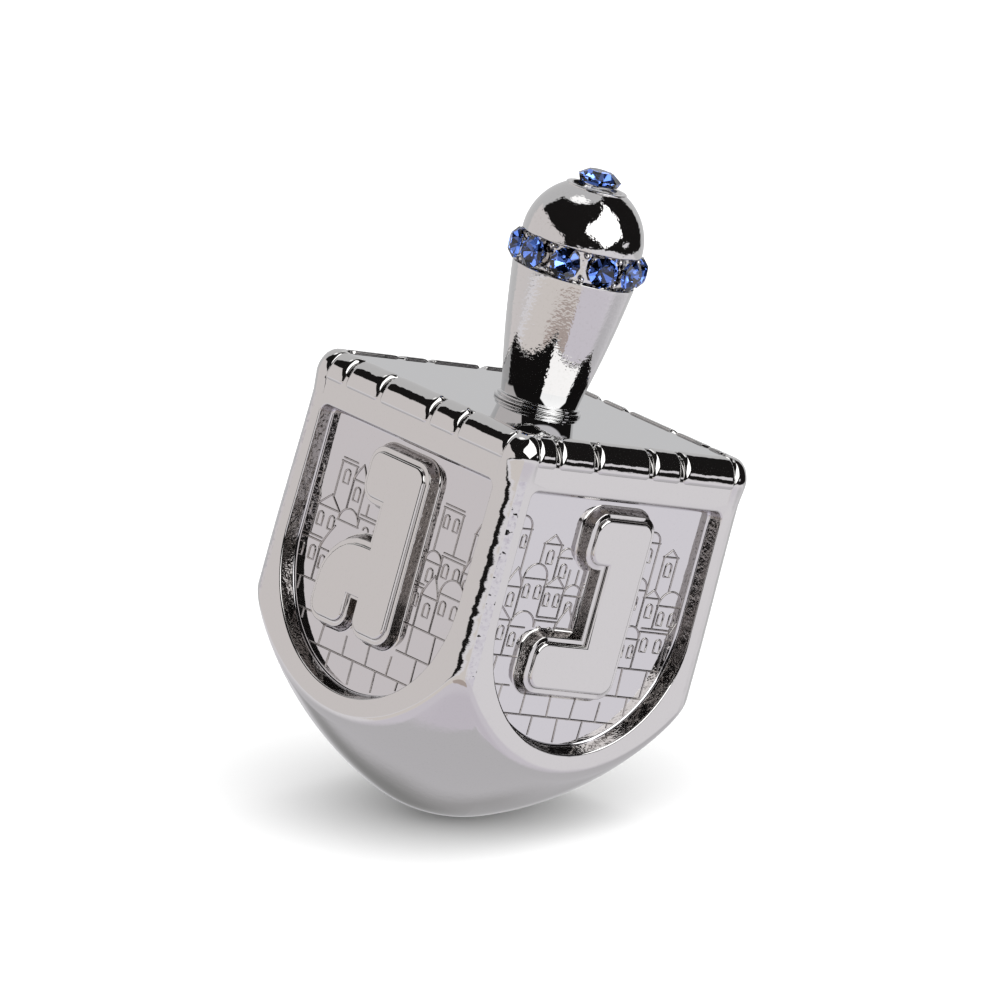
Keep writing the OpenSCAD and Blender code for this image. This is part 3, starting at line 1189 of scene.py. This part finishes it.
@dataclass(frozen=True)
class House:
    """A house of the street scene: its left wall, width, height of its eaves, roof and windows."""

    left: float
    width: float
    eaves: float
    roof: Roof
    windows: int
    dome_rise: float = 0.5
    gable_rise: float = 0.42
    spire_rise: float = 0.95
    spire_power: float = 0.75
    flat_rise: float = 0.35
    roof_steps: int = 9
    eaves_out: float = 0.15
    window_most: float = 0.75
    window_share: float = 0.46
    window_drop: float = 0.6
    window_h: float = 0.95
    window_steps: int = 8

    def middle(self) -> float:
        """The middle of its front."""
        return self.left + self.width / 2

    def crown(self, off: float) -> float:
        """Find the height of the roof over the eaves.

        Args:
            off: the distance from the middle.
        Returns:
            The height.
        """
        share = min(1.0, abs(off) / (self.width / 2))
        if self.roof is Roof.DOME:
            return self.width * self.dome_rise * math.sqrt(1 - share * share)
        if self.roof is Roof.GABLE:
            return self.width * self.gable_rise * (1 - share)
        if self.roof is Roof.SPIRE:
            return self.width * self.spire_rise * (1 - share) ** self.spire_power
        return self.flat_rise

    def hides(self, u: float, z: float) -> bool:
        """Whether a spot lies behind the house."""
        off = abs(u - self.middle())
        return off < self.width / 2 and z < self.eaves + self.crown(off)

    def lines(self, ground: float) -> list[list[Flat]]:
        """Draw the house: walls, eaves, roof and round-headed windows.

        Args:
            ground: the ground's height.
        Returns:
            The points of each line.
        """
        left, right, eaves = self.left, self.left + self.width, self.eaves
        steps = self.roof_steps
        offs = [self.width / 2 * math.sin(math.pi / 2 * i / steps) for i in range(-steps, steps + 1)]
        lines = [[(left, ground), (left, eaves)], [(right, ground), (right, eaves)],
                 [(left - self.eaves_out, eaves), (right + self.eaves_out, eaves)],
                 [(self.middle() + off, eaves + self.crown(off)) for off in offs]]
        half = min(self.window_most, self.width / self.windows * self.window_share) / 2
        head = eaves - self.window_drop - half
        sill = head - self.window_h
        for i in range(self.windows):
            at = left + self.width * (i + 0.5) / self.windows
            lines.append([(at - half, sill), *reversed(arc((at, head), half, 0, 180, self.window_steps)),
                          (at + half, sill), (at - half, sill)])
        return lines


def open_tree(name: str, inputs: dict[str, str], output: str) -> Nodes:
    """Start a geometry tree.

    Args:
        name: the tree's name.
        inputs: the kind of socket of each named input.
        output: the name of its output.
    Returns:
        A short hand for the tree.
    """
    tree = bpy.data.node_groups.new(name, "GeometryNodeTree")
    for label, kind in inputs.items():
        tree.interface.new_socket(name=label, in_out="INPUT", socket_type=f"NodeSocket{kind}")
    tree.interface.new_socket(name=output, in_out="OUTPUT", socket_type="NodeSocketGeometry")
    return Nodes(tree)


def close_tree(nodes: Nodes, shape: Socket, finish: Socket) -> bpy.types.NodeTree:
    """End a geometry tree with real meshes in their finish.

    Args:
        nodes: the tree's nodes.
        shape: the geometry to put out.
        finish: the material to put on it.
    Returns:
        The finished tree.
    """
    real = nodes.add("GeometryNodeRealizeInstances", {"Geometry": shape})
    dressed = nodes.add("GeometryNodeSetMaterial", {"Geometry": real.outputs[0], "Material": finish})
    nodes.add("NodeGroupOutput", {0: dressed.outputs[0]})
    return nodes.tree


def grown(name: str, spots: list[Vector], edges: list[tuple[int, int]], tree: bpy.types.NodeTree,
          values: dict) -> bpy.types.Object:
    """Grow a piece on drawn points by a geometry tree.

    Args:
        name: the piece's name.
        spots: the points, in metres.
        edges: the pairs of points that lines join.
        tree: the geometry tree.
        values: its inputs by name, set by their sockets' identifiers.
    Returns:
        The piece as a plain mesh.
    """
    mesh = bpy.data.meshes.new(name)
    mesh.from_pydata(spots, edges, [])
    piece = bpy.data.objects.new(name, mesh)
    bpy.context.scene.collection.objects.link(piece)
    modifier = piece.modifiers.new(name, "NODES")
    modifier.node_group = tree
    for item in tree.interface.items_tree:
        if item.in_out == "INPUT" and item.name in values:
            modifier[item.identifier] = values[item.name]
    settle(piece)
    return piece


@dataclass
class Street:
    """A street of small houses over a paved ground, drawn in fine ribs on the panels' floors."""

    body: Body
    letters: Letters
    ranks: tuple[Flat, ...] = ((21.9, 1.1), (25.4, 1.3), (29.0, 2.4))
    narrow: float = 2.3
    spread: float = 1.3
    rib: float = 0.1
    rib_sides: int = 8
    margin: float = 0.6
    ground: float = 19.0
    courses: tuple[float, ...] = (19.0, 16.2, 13.5)
    last_course: float = 2.6
    stone: float = 3.3
    paved: Flat = (-14.0, 12.0)
    paving_shift: float = 0.7
    joint_lean: float = 0.15
    joint_turn: float = 7.0
    look_step: float = 0.08
    stagger: float = 0.6
    shrink: float = 0.12
    two_windows: float = 2.5
    far_gap: float = 1.1
    roofs: tuple[Roof, ...] = (Roof.DOME, Roof.FLAT, Roof.SPIRE, Roof.DOME, Roof.GABLE)

    def reach(self, z: float) -> float:
        """Find half the width of a panel's floor.

        Args:
            z: the height.
        Returns:
            The half width, inside the edge.
        """
        hub = self.body.panel_hub()
        radius = self.body.panel_half - self.margin
        if z >= hub:
            return radius
        return math.sqrt(max(0.0, radius * radius - (hub - z) ** 2))

    def paving(self, shift: float) -> list[list[Flat]]:
        """Draw courses of paving stones with staggered joints.

        Args:
            shift: how far the joints are moved along.
        Returns:
            The points of each line.
        """
        lines: list[list[Flat]] = []
        for row, z in enumerate(self.courses):
            lines.append([(-self.reach(z), z), (self.reach(z), z)])
            low = self.courses[row + 1] if row + 1 < len(self.courses) else z - self.last_course
            start = shift + self.paved[0] + self.stone / 2 * (row % 2)
            while start < self.paved[1]:
                lean = self.joint_lean * math.sin(self.joint_turn * start + row)
                lines.append([(start, z), (start + lean, low)])
                start += self.stone
        return lines

    def houses(self, side: Side) -> list[list[House]]:
        """Lay out the houses of one face, their sizes in a steady round.

        Args:
            side: the face.
        Returns:
            The ranks of houses, the nearest first.
        """
        ranks: list[list[House]] = []
        for rank, (eaves, vary) in enumerate(self.ranks):
            row: list[House] = []
            left = -self.body.panel_half - self.stagger * ((rank + side.value) % 3)
            number = 2 * rank + 3 * side.value
            while left < self.body.panel_half:
                number += 1
                width = (self.narrow + self.spread * (number * 5 % 7) / 6) * (1 - self.shrink * rank)
                row.append(House(left, width, eaves + vary * (number * 3 % 5) / 4,
                                 self.roofs[number % len(self.roofs)], 2 if width > self.two_windows else 1))
                left += width + (0.0 if rank < 2 else self.far_gap * (number % 3))
            ranks.append(row)
        return ranks

    def seen(self, line: list[Flat], nearer: Sequence[House], side: Side) -> list[list[Flat]]:
        """The stretches of a line that nearer houses, the letter and the panel's edge leave in sight.

        Args:
            line: the line's points.
            nearer: the houses in front of it.
            side: the face.
        Returns:
            The stretches, each with two points or more.
        """
        kept: list[list[Flat]] = []
        run: list[Flat] = []
        for (u1, z1), (u2, z2) in zip(line, line[1:]):
            steps = max(1, math.ceil(math.hypot(u2 - u1, z2 - z1) / self.look_step))
            for i in range(steps + 1):
                u, z = u1 + (u2 - u1) * i / steps, z1 + (z2 - z1) * i / steps
                hidden = abs(u) > self.reach(z) or z > self.body.panel_top - self.margin
                hidden = hidden or any(house.hides(u, z) for house in nearer)
                if hidden or self.letters.covers(side, u, z):
                    kept.append(run)
                    run = []
                elif len(run) > 1 and i > 1:
                    run[-1] = (u, z)
                elif not run or run[-1] != (u, z):
                    run.append((u, z))
        kept.append(run)
        return [run for run in kept if len(run) > 1]

    def drawing(self, side: Side) -> list[list[Flat]]:
        """Draw all the lines in sight on one face.

        Args:
            side: the face.
        Returns:
            The points of each line.
        """
        lines: list[list[Flat]] = []
        for line in self.paving(self.paving_shift * side.value):
            lines += self.seen(line, (), side)
        nearer: list[House] = []
        for row in self.houses(side):
            for house in row:
                for line in house.lines(self.ground):
                    lines += self.seen(line, nearer, side)
            nearer += row
        return lines

    def tree(self) -> bpy.types.NodeTree:
        """A tree that turns drawn lines into round ribs.

        Returns:
            A geometry tree with inputs for the rib's radius, its sides and its finish.
        """
        nodes = open_tree("street_ribs", {"Lines": "Geometry", "Rib Radius": "Float", "Rib Sides": "Int",
                                          "Finish": "Material"}, "Ribs")
        given = nodes.add("NodeGroupInput").outputs
        path = nodes.add("GeometryNodeMeshToCurve", {"Mesh": given["Lines"]})
        ring = nodes.add("GeometryNodeCurvePrimitiveCircle", {"Resolution": given["Rib Sides"],
                                                              "Radius": given["Rib Radius"]})
        rib = nodes.add("GeometryNodeCurveToMesh", {"Curve": path.outputs[0], "Fill Caps": True,
                                                    "Profile Curve": ring.outputs[0]})
        smooth = nodes.add("GeometryNodeSetShadeSmooth", {"Geometry": rib.outputs[0]})
        return close_tree(nodes, smooth.outputs[0], given["Finish"])

    def build(self, finish: bpy.types.Material) -> bpy.types.Object:
        """Make the ribs of all four panels.

        Args:
            finish: the plated skin.
        Returns:
            The finished piece.
        """
        spots: list[Vector] = []
        edges: list[tuple[int, int]] = []
        floor = self.body.floor_y()
        for side in Side:
            for line in self.drawing(side):
                first = len(spots)
                spots += [Vector(turned((u, floor, z), side)) * MM for u, z in line]
                edges += [(i, i + 1) for i in range(first, len(spots) - 1)]
        values = {"Rib Radius": self.rib * MM, "Rib Sides": self.rib_sides, "Finish": finish}
        return hand_over(grown("street_ribs", spots, edges, self.tree(), values), "plated_casting")


@dataclass
class TopPlate:
    """The polished plate that closes the top."""

    body: Body
    half: float = 13.4
    corner_r: float = 1.0
    thickness: float = 1.6
    edge: float = 0.12
    margin: float = 0.1
    edge_steps: int = 6
    hole_r: float = 2.5

    def build(self, finish: bpy.types.Material) -> bpy.types.Object:
        """Make the plate with its softened edge and its hole for the stem.

        Args:
            finish: the polished skin.
        Returns:
            The finished piece.
        """
        body = self.body
        low, top = body.rebate_z, body.rebate_z + self.thickness

        def square(inset: float, z: float) -> list[Point]:
            """A level ring of the plate."""
            return body.round_body(lambda c, a: (*body.ring(self.half - inset, self.corner_r, c, a), z))

        rows = [square(0.0, low)]
        for angle in quarter(self.edge_steps):
            rows.append(square(self.edge * (1 - math.cos(angle)), top - self.edge * (1 - math.sin(angle))))
        rows.append(square(self.edge + self.margin, top))
        turn = [math.atan2(y, x) for x, y, _ in rows[-1]]
        for z in (top, low):
            rows.append([(self.hole_r * math.cos(a), self.hole_r * math.sin(a), z) for a in turn])
        skin = Skin()
        skin.rows(rows)
        skin.strip(rows[-1], rows[0])
        return hand_over(skin.to_object("top_plate_polished", [finish]), "polished_plate", "top_plate")


@dataclass
class Stem:
    """The turned stem: ringed foot, tapering grip, stone channel, dome and seat.

    The rows of its foot, lip, channel and seat are radius, height over their own level, and rounding.
    """

    foot_z: float = 40.3
    spigot_r: float = 2.4
    spigot_z: float = 38.9
    spigot_soft: Flat = (0.15, 0.05)
    foot_rows: tuple[Point, ...] = ((4.25, 0.0, 0.1), (4.25, 0.3, 0.13), (4.0, 0.34, 0.04),
                                    (4.05, 0.42, 0.05), (4.05, 0.6, 0.06), (3.77, 0.66, 0.08))
    neck_r: float = 3.75
    neck_z: float = 41.15
    neck_guide: Flat = (0.1, 0.9)
    grip_r: float = 5.95
    grip_z: float = 53.3
    grip_swell: float = 0.16
    grip_start: float = 0.06
    lip_rows: tuple[Point, ...] = ((5.95, 0.0, 0.0), (5.95, 0.12, 0.1), (5.15, 0.2, 0.12))
    dome_z: float = 56.7
    dome_r: float = 5.85
    channel_rows: tuple[Point, ...] = ((5.15, -0.28, 0.12), (5.85, -0.2, 0.12), (5.85, 0.0, 0.0))
    seat_r: float = 2.95
    seat_top: float = 61.95
    seat_rows: tuple[Point, ...] = ((2.95, -0.02, 0.08), (2.45, -0.02, 0.1), (2.3, -0.35, 0.05),
                                    (0.0, -0.35, 0.0))
    sides: int = 160
    grip_steps: int = 32
    dome_steps: int = 36
    soft_steps: int = 5
    grain_r: float = 0.3
    grain_out: float = 5.65
    grain_rise: float = 1.15
    grain_mesh: tuple[int, int] = (14, 8)
    stones: int = 10
    phase: float = math.radians(18)

    def profile(self) -> list[Flat]:
        """Draw the stem's outline from the axis below to the axis above.

        Returns:
            Radius and height of each point.
        """
        def rows(level: float, listed: Sequence[Point]) -> list[Point]:
            """Listed rows, set at their level."""
            return [(r, level + up, soft) for r, up, soft in listed]

        foot = [(0.0, self.spigot_z, 0.0), (self.spigot_r, self.spigot_z, self.spigot_soft[0]),
                (self.spigot_r, self.foot_z, self.spigot_soft[1]), *rows(self.foot_z, self.foot_rows),
                (self.neck_r + self.neck_guide[0], self.neck_z + self.neck_guide[1], 0.0)]
        grip = []
        for i in range(1, self.grip_steps):
            share = self.grip_start + (1 - self.grip_start) * i / self.grip_steps
            r = self.neck_r + (self.grip_r - self.neck_r) * share
            bulge = self.grip_swell * math.sin(math.pi * share)
            grip.append((r + bulge, self.neck_z + (self.grip_z - self.neck_z) * share))
        waist = rows(self.grip_z, self.lip_rows) + rows(self.dome_z, self.channel_rows)
        end = math.degrees(math.acos(self.seat_r / self.dome_r))
        dome = arc((0.0, self.dome_z), self.dome_r, 0, end, self.dome_steps)
        seat = [(*dome[-1], 0.0), *rows(self.seat_top, self.seat_rows)]
        lower, middle, crown = (softened(part, self.soft_steps) for part in (foot, waist, seat))
        return lower[:-1] + grip + middle + dome[1:-1] + crown

    def band_middle(self) -> float:
        """Height of the middle of the stones' channel."""
        return (self.grip_z + self.dome_z) / 2

    def tree(self) -> bpy.types.NodeTree:
        """A tree that sets round grains on drawn points.

        Returns:
            A geometry tree with inputs for the grain's radius and its finish.
        """
        nodes = open_tree("setting_grains", {"Seats": "Geometry", "Grain Radius": "Float",
                                             "Finish": "Material"}, "Grains")
        given = nodes.add("NodeGroupInput").outputs
        segments, rings = self.grain_mesh
        ball = nodes.add("GeometryNodeMeshUVSphere", {"Segments": segments, "Rings": rings,
                                                      "Radius": given["Grain Radius"]})
        smooth = nodes.add("GeometryNodeSetShadeSmooth", {"Geometry": ball.outputs[0]})
        seats = nodes.add("GeometryNodeInstanceOnPoints", {"Points": given["Seats"],
                                                           "Instance": smooth.outputs[0]})
        return close_tree(nodes, seats.outputs[0], given["Finish"])

    def build_grains(self, finish: bpy.types.Material) -> bpy.types.Object:
        """Make the pairs of grains that hold the stones of the band.

        Args:
            finish: the plated skin.
        Returns:
            The finished piece.
        """
        seats = []
        for i in range(self.stones):
            angle = self.phase + (i + 0.5) * 2 * math.pi / self.stones
            for up in (-1, 1):
                seats.append(Vector((self.grain_out * math.cos(angle), self.grain_out * math.sin(angle),
                                     self.band_middle() + up * self.grain_rise)) * MM)
        values = {"Grain Radius": self.grain_r * MM, "Finish": finish}
        return hand_over(grown("stone_grains", seats, [], self.tree(), values), "plated_stem")

    def build(self, foot: bpy.types.Material, finish: bpy.types.Material) -> bpy.types.Object:
        """Make the stem.

        Args:
            foot: the finish of its foot's rings.
            finish: the finish of the rest.
        Returns:
            The finished piece.
        """
        skin = lathe(self.profile(), self.sides, self.neck_z)
        return hand_over(skin.to_object("turned_stem", [foot, finish]), "plated_stem", "stem")


@dataclass(frozen=True)
class CutStone:
    """A round cut stone: table, crown facets, widest line with facets under it, and shallow foiled back."""

    diameter: float
    back: float
    facets: int
    waist: float = 0.38
    table_share: float = 0.56
    foot_share: float = 0.95
    widest_share: float = 0.999
    crown_foot: float = 0.25
    crown_run: float = 0.52
    crown_slope: float = math.radians(41)

    def build(self, name: str, node: str, place: Matrix, glass: bpy.types.Material,
              foil: bpy.types.Material) -> bpy.types.Object:
        """Make one stone.

        Args:
            name: the piece's name.
            node: the frame's node that it stands for.
            place: where its foot's centre and axis are, in millimetres.
            glass: the glass of its crown.
            foil: the foil of its back.
        Returns:
            The finished piece.
        """
        r = self.diameter / 2
        top = self.crown_foot + r * self.crown_run * math.tan(self.crown_slope)
        turns = [2 * math.pi * i / self.facets for i in range(self.facets)]

        def ring(share: float, z: float) -> list[Point]:
            """The corners of the stone at a height."""
            wide = r * share
            return [tuple(place @ Vector((wide * math.cos(a), wide * math.sin(a), z))) for a in turns]

        skin = Skin()
        rings = [ring(self.table_share, top), ring(self.widest_share, self.waist), ring(self.foot_share, 0.0)]
        skin.face(rings[0])
        skin.rows(rings)
        skin.strip(rings[2], ring(0.0, -self.back), slot=1)
        piece = skin.to_object(name, [glass, foil], even=False)
        return hand_over(piece, "blue_glass", node)


@dataclass
class Jewels:
    """The ring of stones in the channel and the larger stone on the dome."""

    stem: Stem
    small: CutStone = CutStone(3.05, 0.5, 10)
    small_out: float = 5.75
    small_spin: float = 0.35
    large: CutStone = CutStone(4.3, 0.58, 9, waist=0.55, foot_share=0.88)
    large_z: float = 62.3
    large_turn: float = math.radians(8)

    def build(self, glass: bpy.types.Material, foil: bpy.types.Material) -> None:
        """Make all the stones.

        Args:
            glass: the glass of their crowns.
            foil: the foil of their backs.
        """
        stem = self.stem
        for i in range(stem.stones):
            angle = stem.phase + i * 2 * math.pi / stem.stones
            out = Matrix.Translation((self.small_out, 0, stem.band_middle()))
            spin = Matrix.Rotation(self.small_spin * i, 4, "Z")
            place = Matrix.Rotation(angle, 4, "Z") @ out @ Matrix.Rotation(math.pi / 2, 4, "Y") @ spin
            self.small.build(f"cut_stone_{i + 1:02d}", f"band_stone_{i + 1:02d}", place, glass, foil)
        place = Matrix.Translation((0, 0, self.large_z)) @ Matrix.Rotation(self.large_turn, 4, "Z")
        self.large.build("cut_stone_top", "top_stone", place, glass, foil)


def dress_fixings(finish: bpy.types.Material) -> None:
    """Give the screw and washer inside their steel.

    Args:
        finish: the steel.
    """
    for node in ("stem_screw", "lock_washer"):
        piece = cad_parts[node]
        piece.data.materials.clear()
        piece.data.materials.append(finish)
        LOG.info("%s: steel finish", node)


@dataclass(frozen=True)
class Card:
    """A patch of the studio that the metal mirrors.

    Its corners, counter-clockwise, are in degrees right and up of the lens. Its soft edge is in degrees too.
    """

    corners: tuple[Flat, ...]
    colour: Colour
    soft: float


CARDS = (
    # the pale table: before the part, behind it and under it
    Card(((-170, -90), (170, -90), (170, -16), (-170, -3)), (0.93, 0.91, 0.95), 3.0),
    Card(((-190, -90), (190, -90), (190, -36), (-190, -20)), (0.8, 0.765, 0.84), 14.0),
    Card(((-190, -90), (190, -90), (190, -62), (-190, -62)), (0.73, 0.69, 0.77), 20.0),
    # its greyer far ends, right and left
    Card(((101, -90), (190, -90), (190, -6), (101, -27)), (0.63, 0.62, 0.65), 18.0),
    Card(((-190, -90), (-104, -90), (-104, -14), (-190, -6)), (0.63, 0.62, 0.65), 18.0),
    # a dim patch right behind, once from each end of the round, and its darkest part
    Card(((-190, -44), (-150, -44), (-150, -13), (-190, -11)), (0.44, 0.435, 0.445), 16.0),
    Card(((170, -44), (210, -44), (210, -13), (170, -11)), (0.44, 0.435, 0.445), 16.0),
    Card(((-176, -34), (-157, -36), (-154, -16), (-176, -12)), (0.28, 0.28, 0.28), 16.0),
    # the dark room
    Card(((-122, -1), (-60, -9), (-20, -14), (60, -19.5), (96, -20), (140, -5), (140, 50), (122, 62),
          (60, 68), (-60, 72), (-108, 66)), (0.012, 0.011, 0.011), 2.5),
    # the beige and brown of the table's near edge
    Card(((-94, -8), (-94, -24), (-50, -36), (-5, -44), (15, -40), (15, -20), (-20, -16.5), (-50, -13)),
         (0.85, 0.8, 0.775), 3.0),
    Card(((-39, -28), (-34, -40), (-8, -50), (18, -50), (18, -40), (-14, -32)), (0.54, 0.46, 0.43), 3.0),
    # a bright lamp, a strip beside it, a beige board at the left and a lamp overhead
    Card(((6, 13), (44, -15), (80, 4), (78, 63), (10, 25)), (2.2, 2.2, 2.2), 2.0),
    Card(((83, -10.5), (96, -10), (96, -4), (83, -4.5)), (0.9, 0.88, 0.92), 1.5),
    Card(((-128, -6), (-33, -6), (-38, 10), (-86, 37), (-128, 36)), (0.82, 0.78, 0.78), 2.0),
    Card(((-100, 75), (40, 72), (40, 88), (-100, 88)), (1.5, 1.5, 1.5), 2.0),
)


@dataclass
class Studio:
    """Camera, floor and light."""

    azimuth: float = math.radians(45.471)
    elevation: float = math.radians(9.155)
    roll: float = math.radians(15.337)
    distance: float = 2558.0
    lens: float = 971.9
    sensor: float = 36.0
    clip_end: float = 20.0
    aim_z: float = 24.58
    aim_right: float = 0.579
    aim_up: float = 5.996
    floor_view: float = math.radians(17)
    floor_size: float = 900.0
    floor_white: float = 0.9
    floor_glow: float = 0.04
    soft_light: float = 1.3
    side_light: float = 0.75
    front_light: float = 1.0
    under_light: float = 0.15
    glint_scale: float = 1.7
    glint_light: float = 7.0
    glint_power: float = 3.0
    glint_range: Flat = (0.39, 0.74)
    back_light: Colour = (0.66, 0.66, 0.67)
    cards: tuple[Card, ...] = CARDS

    def axes(self) -> tuple[Vector, Vector, Vector]:
        """Find the camera's axes, with its roll.

        Returns:
            Right, up and back.
        """
        a, e, r = self.azimuth, self.elevation, self.roll
        back = Vector((math.sin(a) * math.cos(e), -math.cos(a) * math.cos(e), math.sin(e)))
        flat = Vector((math.cos(a), math.sin(a), 0.0))
        up = back.cross(flat)
        return (flat * math.cos(r) + up * math.sin(r), up * math.cos(r) - flat * math.sin(r), back)

    def add_camera(self) -> None:
        """Set the camera at the photograph's angle."""
        right, up, back = self.axes()
        aim = Vector((0.0, 0.0, self.aim_z)) + right * self.aim_right + up * self.aim_up
        data = bpy.data.cameras.new("lens")
        data.lens = self.lens
        data.sensor_width = self.sensor
        data.clip_end = self.clip_end
        camera = bpy.data.objects.new("camera", data)
        place = Matrix((right, up, back)).transposed().to_4x4()
        place.translation = (aim + back * self.distance) * MM
        camera.matrix_world = place
        bpy.context.scene.collection.objects.link(camera)
        bpy.context.scene.camera = camera

    def add_floor(self, nose_r: float) -> None:
        """Lay the pale floor under the nose, at the tilt at which the top leans.

        Args:
            nose_r: radius of the nose that rests on it.
        """
        _, up, back = self.axes()
        normal = (up * math.cos(self.floor_view) + back * math.sin(self.floor_view)).normalized()
        spot = (Vector((0.0, 0.0, nose_r)) - normal * nose_r) * MM
        one = normal.orthogonal().normalized() * self.floor_size * MM
        two = normal.cross(one)
        mesh = bpy.data.meshes.new("floor")
        mesh.from_pydata([spot - one - two, spot + one - two, spot + one + two, spot - one + two], [],
                         [(0, 1, 2, 3)])
        floor = bpy.data.objects.new("floor", mesh)
        bpy.context.scene.collection.objects.link(floor)
        mesh.materials.append(self.floor_material())
        floor.visible_glossy = False
        floor.visible_transmission = False

    def floor_material(self) -> bpy.types.Material:
        """Make a pale floor that stays white to the camera, keeps the shadow and shows from above only.

        Returns:
            The material.
        """
        made, nodes = new_material("pale_floor")
        seen = nodes.add("ShaderNodeLightPath").outputs["Is Camera Ray"]
        white = self.floor_white
        matt = nodes.add("ShaderNodeBsdfDiffuse", {"Color": (white, white, white, 1.0)})
        glow = nodes.add("ShaderNodeEmission", {"Strength": nodes.math("MULTIPLY", seen, self.floor_glow)})
        both = nodes.add("ShaderNodeAddShader", {0: matt.outputs[0], 1: glow.outputs[0]})
        clear = nodes.add("ShaderNodeBsdfTransparent")
        behind = nodes.add("ShaderNodeNewGeometry").outputs["Backfacing"]
        mixed = nodes.add("ShaderNodeMixShader", {0: behind, 1: both.outputs[0], 2: clear.outputs[0]})
        nodes.add("ShaderNodeOutputMaterial", {"Surface": mixed.outputs[0]})
        return made

    def card_mask(self, nodes: Nodes, card: Card, right: Socket, up: Socket) -> Socket:
        """Where a card stands, as a mask over the sky.

        Args:
            nodes: the world's tree.
            card: the card.
            right: degrees right of the lens.
            up: degrees above the lens.
        Returns:
            1 on the card and 0 off it.
        """
        mask = None
        for (x1, y1), (x2, y2) in zip(card.corners, card.corners[1:] + card.corners[:1]):
            length = math.hypot(x2 - x1, y2 - y1)
            nx, ny = (y1 - y2) / length, (x2 - x1) / length
            inside = nodes.math("ADD", nodes.math("MULTIPLY", right, nx),
                                nodes.math("MULTIPLY_ADD", up, ny, -(nx * x1 + ny * y1)))
            edge = nodes.rise(inside, -card.soft / 2, card.soft / 2, interpolation_type="SMOOTHSTEP")
            mask = edge if mask is None else nodes.math("MULTIPLY", mask, edge)
        return mask

    def add_world(self) -> None:
        """Light the room: white to the lens, cards to the metal and glass, even soft light to the floor."""
        world = bpy.data.worlds.new("studio")
        bpy.context.scene.world = world
        world.use_nodes = True
        nodes = Nodes(world.node_tree)
        way = nodes.add("ShaderNodeTexCoord").outputs["Generated"]
        parts = []
        for axis in self.axes():
            part = nodes.add("ShaderNodeVectorMath", {0: way, 1: axis}, operation="DOT_PRODUCT")
            parts.append(part.outputs["Value"])
        right = nodes.math("DEGREES", nodes.math("ARCTAN2", parts[0], parts[2]))
        up = nodes.math("DEGREES", nodes.math("ARCSINE", parts[1]))
        colour = self.back_light
        for card in self.cards:
            colour = nodes.mix(self.card_mask(nodes, card, right, up), colour, card.colour)
        path = nodes.add("ShaderNodeLightPath").outputs
        mirrored = nodes.math("MAXIMUM", path["Is Glossy Ray"], path["Is Transmission Ray"])
        glints = nodes.rise(nodes.noise(way, self.glint_scale), *self.glint_range)
        glints = nodes.math("POWER", glints, self.glint_power)
        glints = nodes.math("MULTIPLY", glints, self.glint_light)
        colour = nodes.mix(nodes.math("MINIMUM", path["Transmission Depth"], 1.0), colour, glints)
        onward = nodes.math("MINIMUM", path["Diffuse Depth"], 1.0)
        colour = nodes.mix(onward, colour, (self.under_light,) * 3)
        soft = nodes.math("MULTIPLY_ADD", parts[2], self.front_light, self.soft_light)
        soft = nodes.math("MULTIPLY_ADD", parts[0], self.side_light, soft)
        colour = nodes.mix(mirrored, soft, colour)
        colour = nodes.mix(path["Is Camera Ray"], colour, (1.0, 1.0, 1.0))
        back = nodes.add("ShaderNodeBackground", {"Color": colour, "Strength": 1.0})
        nodes.add("ShaderNodeOutputWorld", {"Surface": back.outputs[0]})


def main() -> None:
    """Build the studio and every piece in order."""
    logging.basicConfig(level=logging.INFO, format="%(name)s %(message)s")
    bpy.context.scene.view_settings.view_transform = "Standard"
    body = Body()
    studio = Studio()
    studio.add_camera()
    studio.add_floor(body.nose_r)
    studio.add_world()
    casting = PLATED_CASTING.material()
    turned_skin = PLATED_STEM.material()
    # the rough walls' skin, its dark colour and black pits painted shade
    rough = ROUGH_CASTING_PAINTED_SHADE.material()
    polished = POLISHED_PLATE.material()
    body.build([casting, rough, PANEL_FLOOR.material(), CORNER_CASTING.material(), SEAM_CASTING.material()])
    letters = Letters(body)
    for side, name in zip(Side, ("letter_gimel", "letter_nun", "letter_shin", "letter_hei")):
        letters.build(side, name, casting, rough)
    Street(body, letters).build(RIB_CASTING.material())
    TopPlate(body).build(polished)
    stem = Stem()
    stem.build(polished, turned_skin)
    stem.build_grains(turned_skin)
    Jewels(stem).build(BLUE_GLASS.material(), FOIL_BACK.material())
    dress_fixings(FIXING_STEEL.material())


if __name__ == "__main__":
    main()
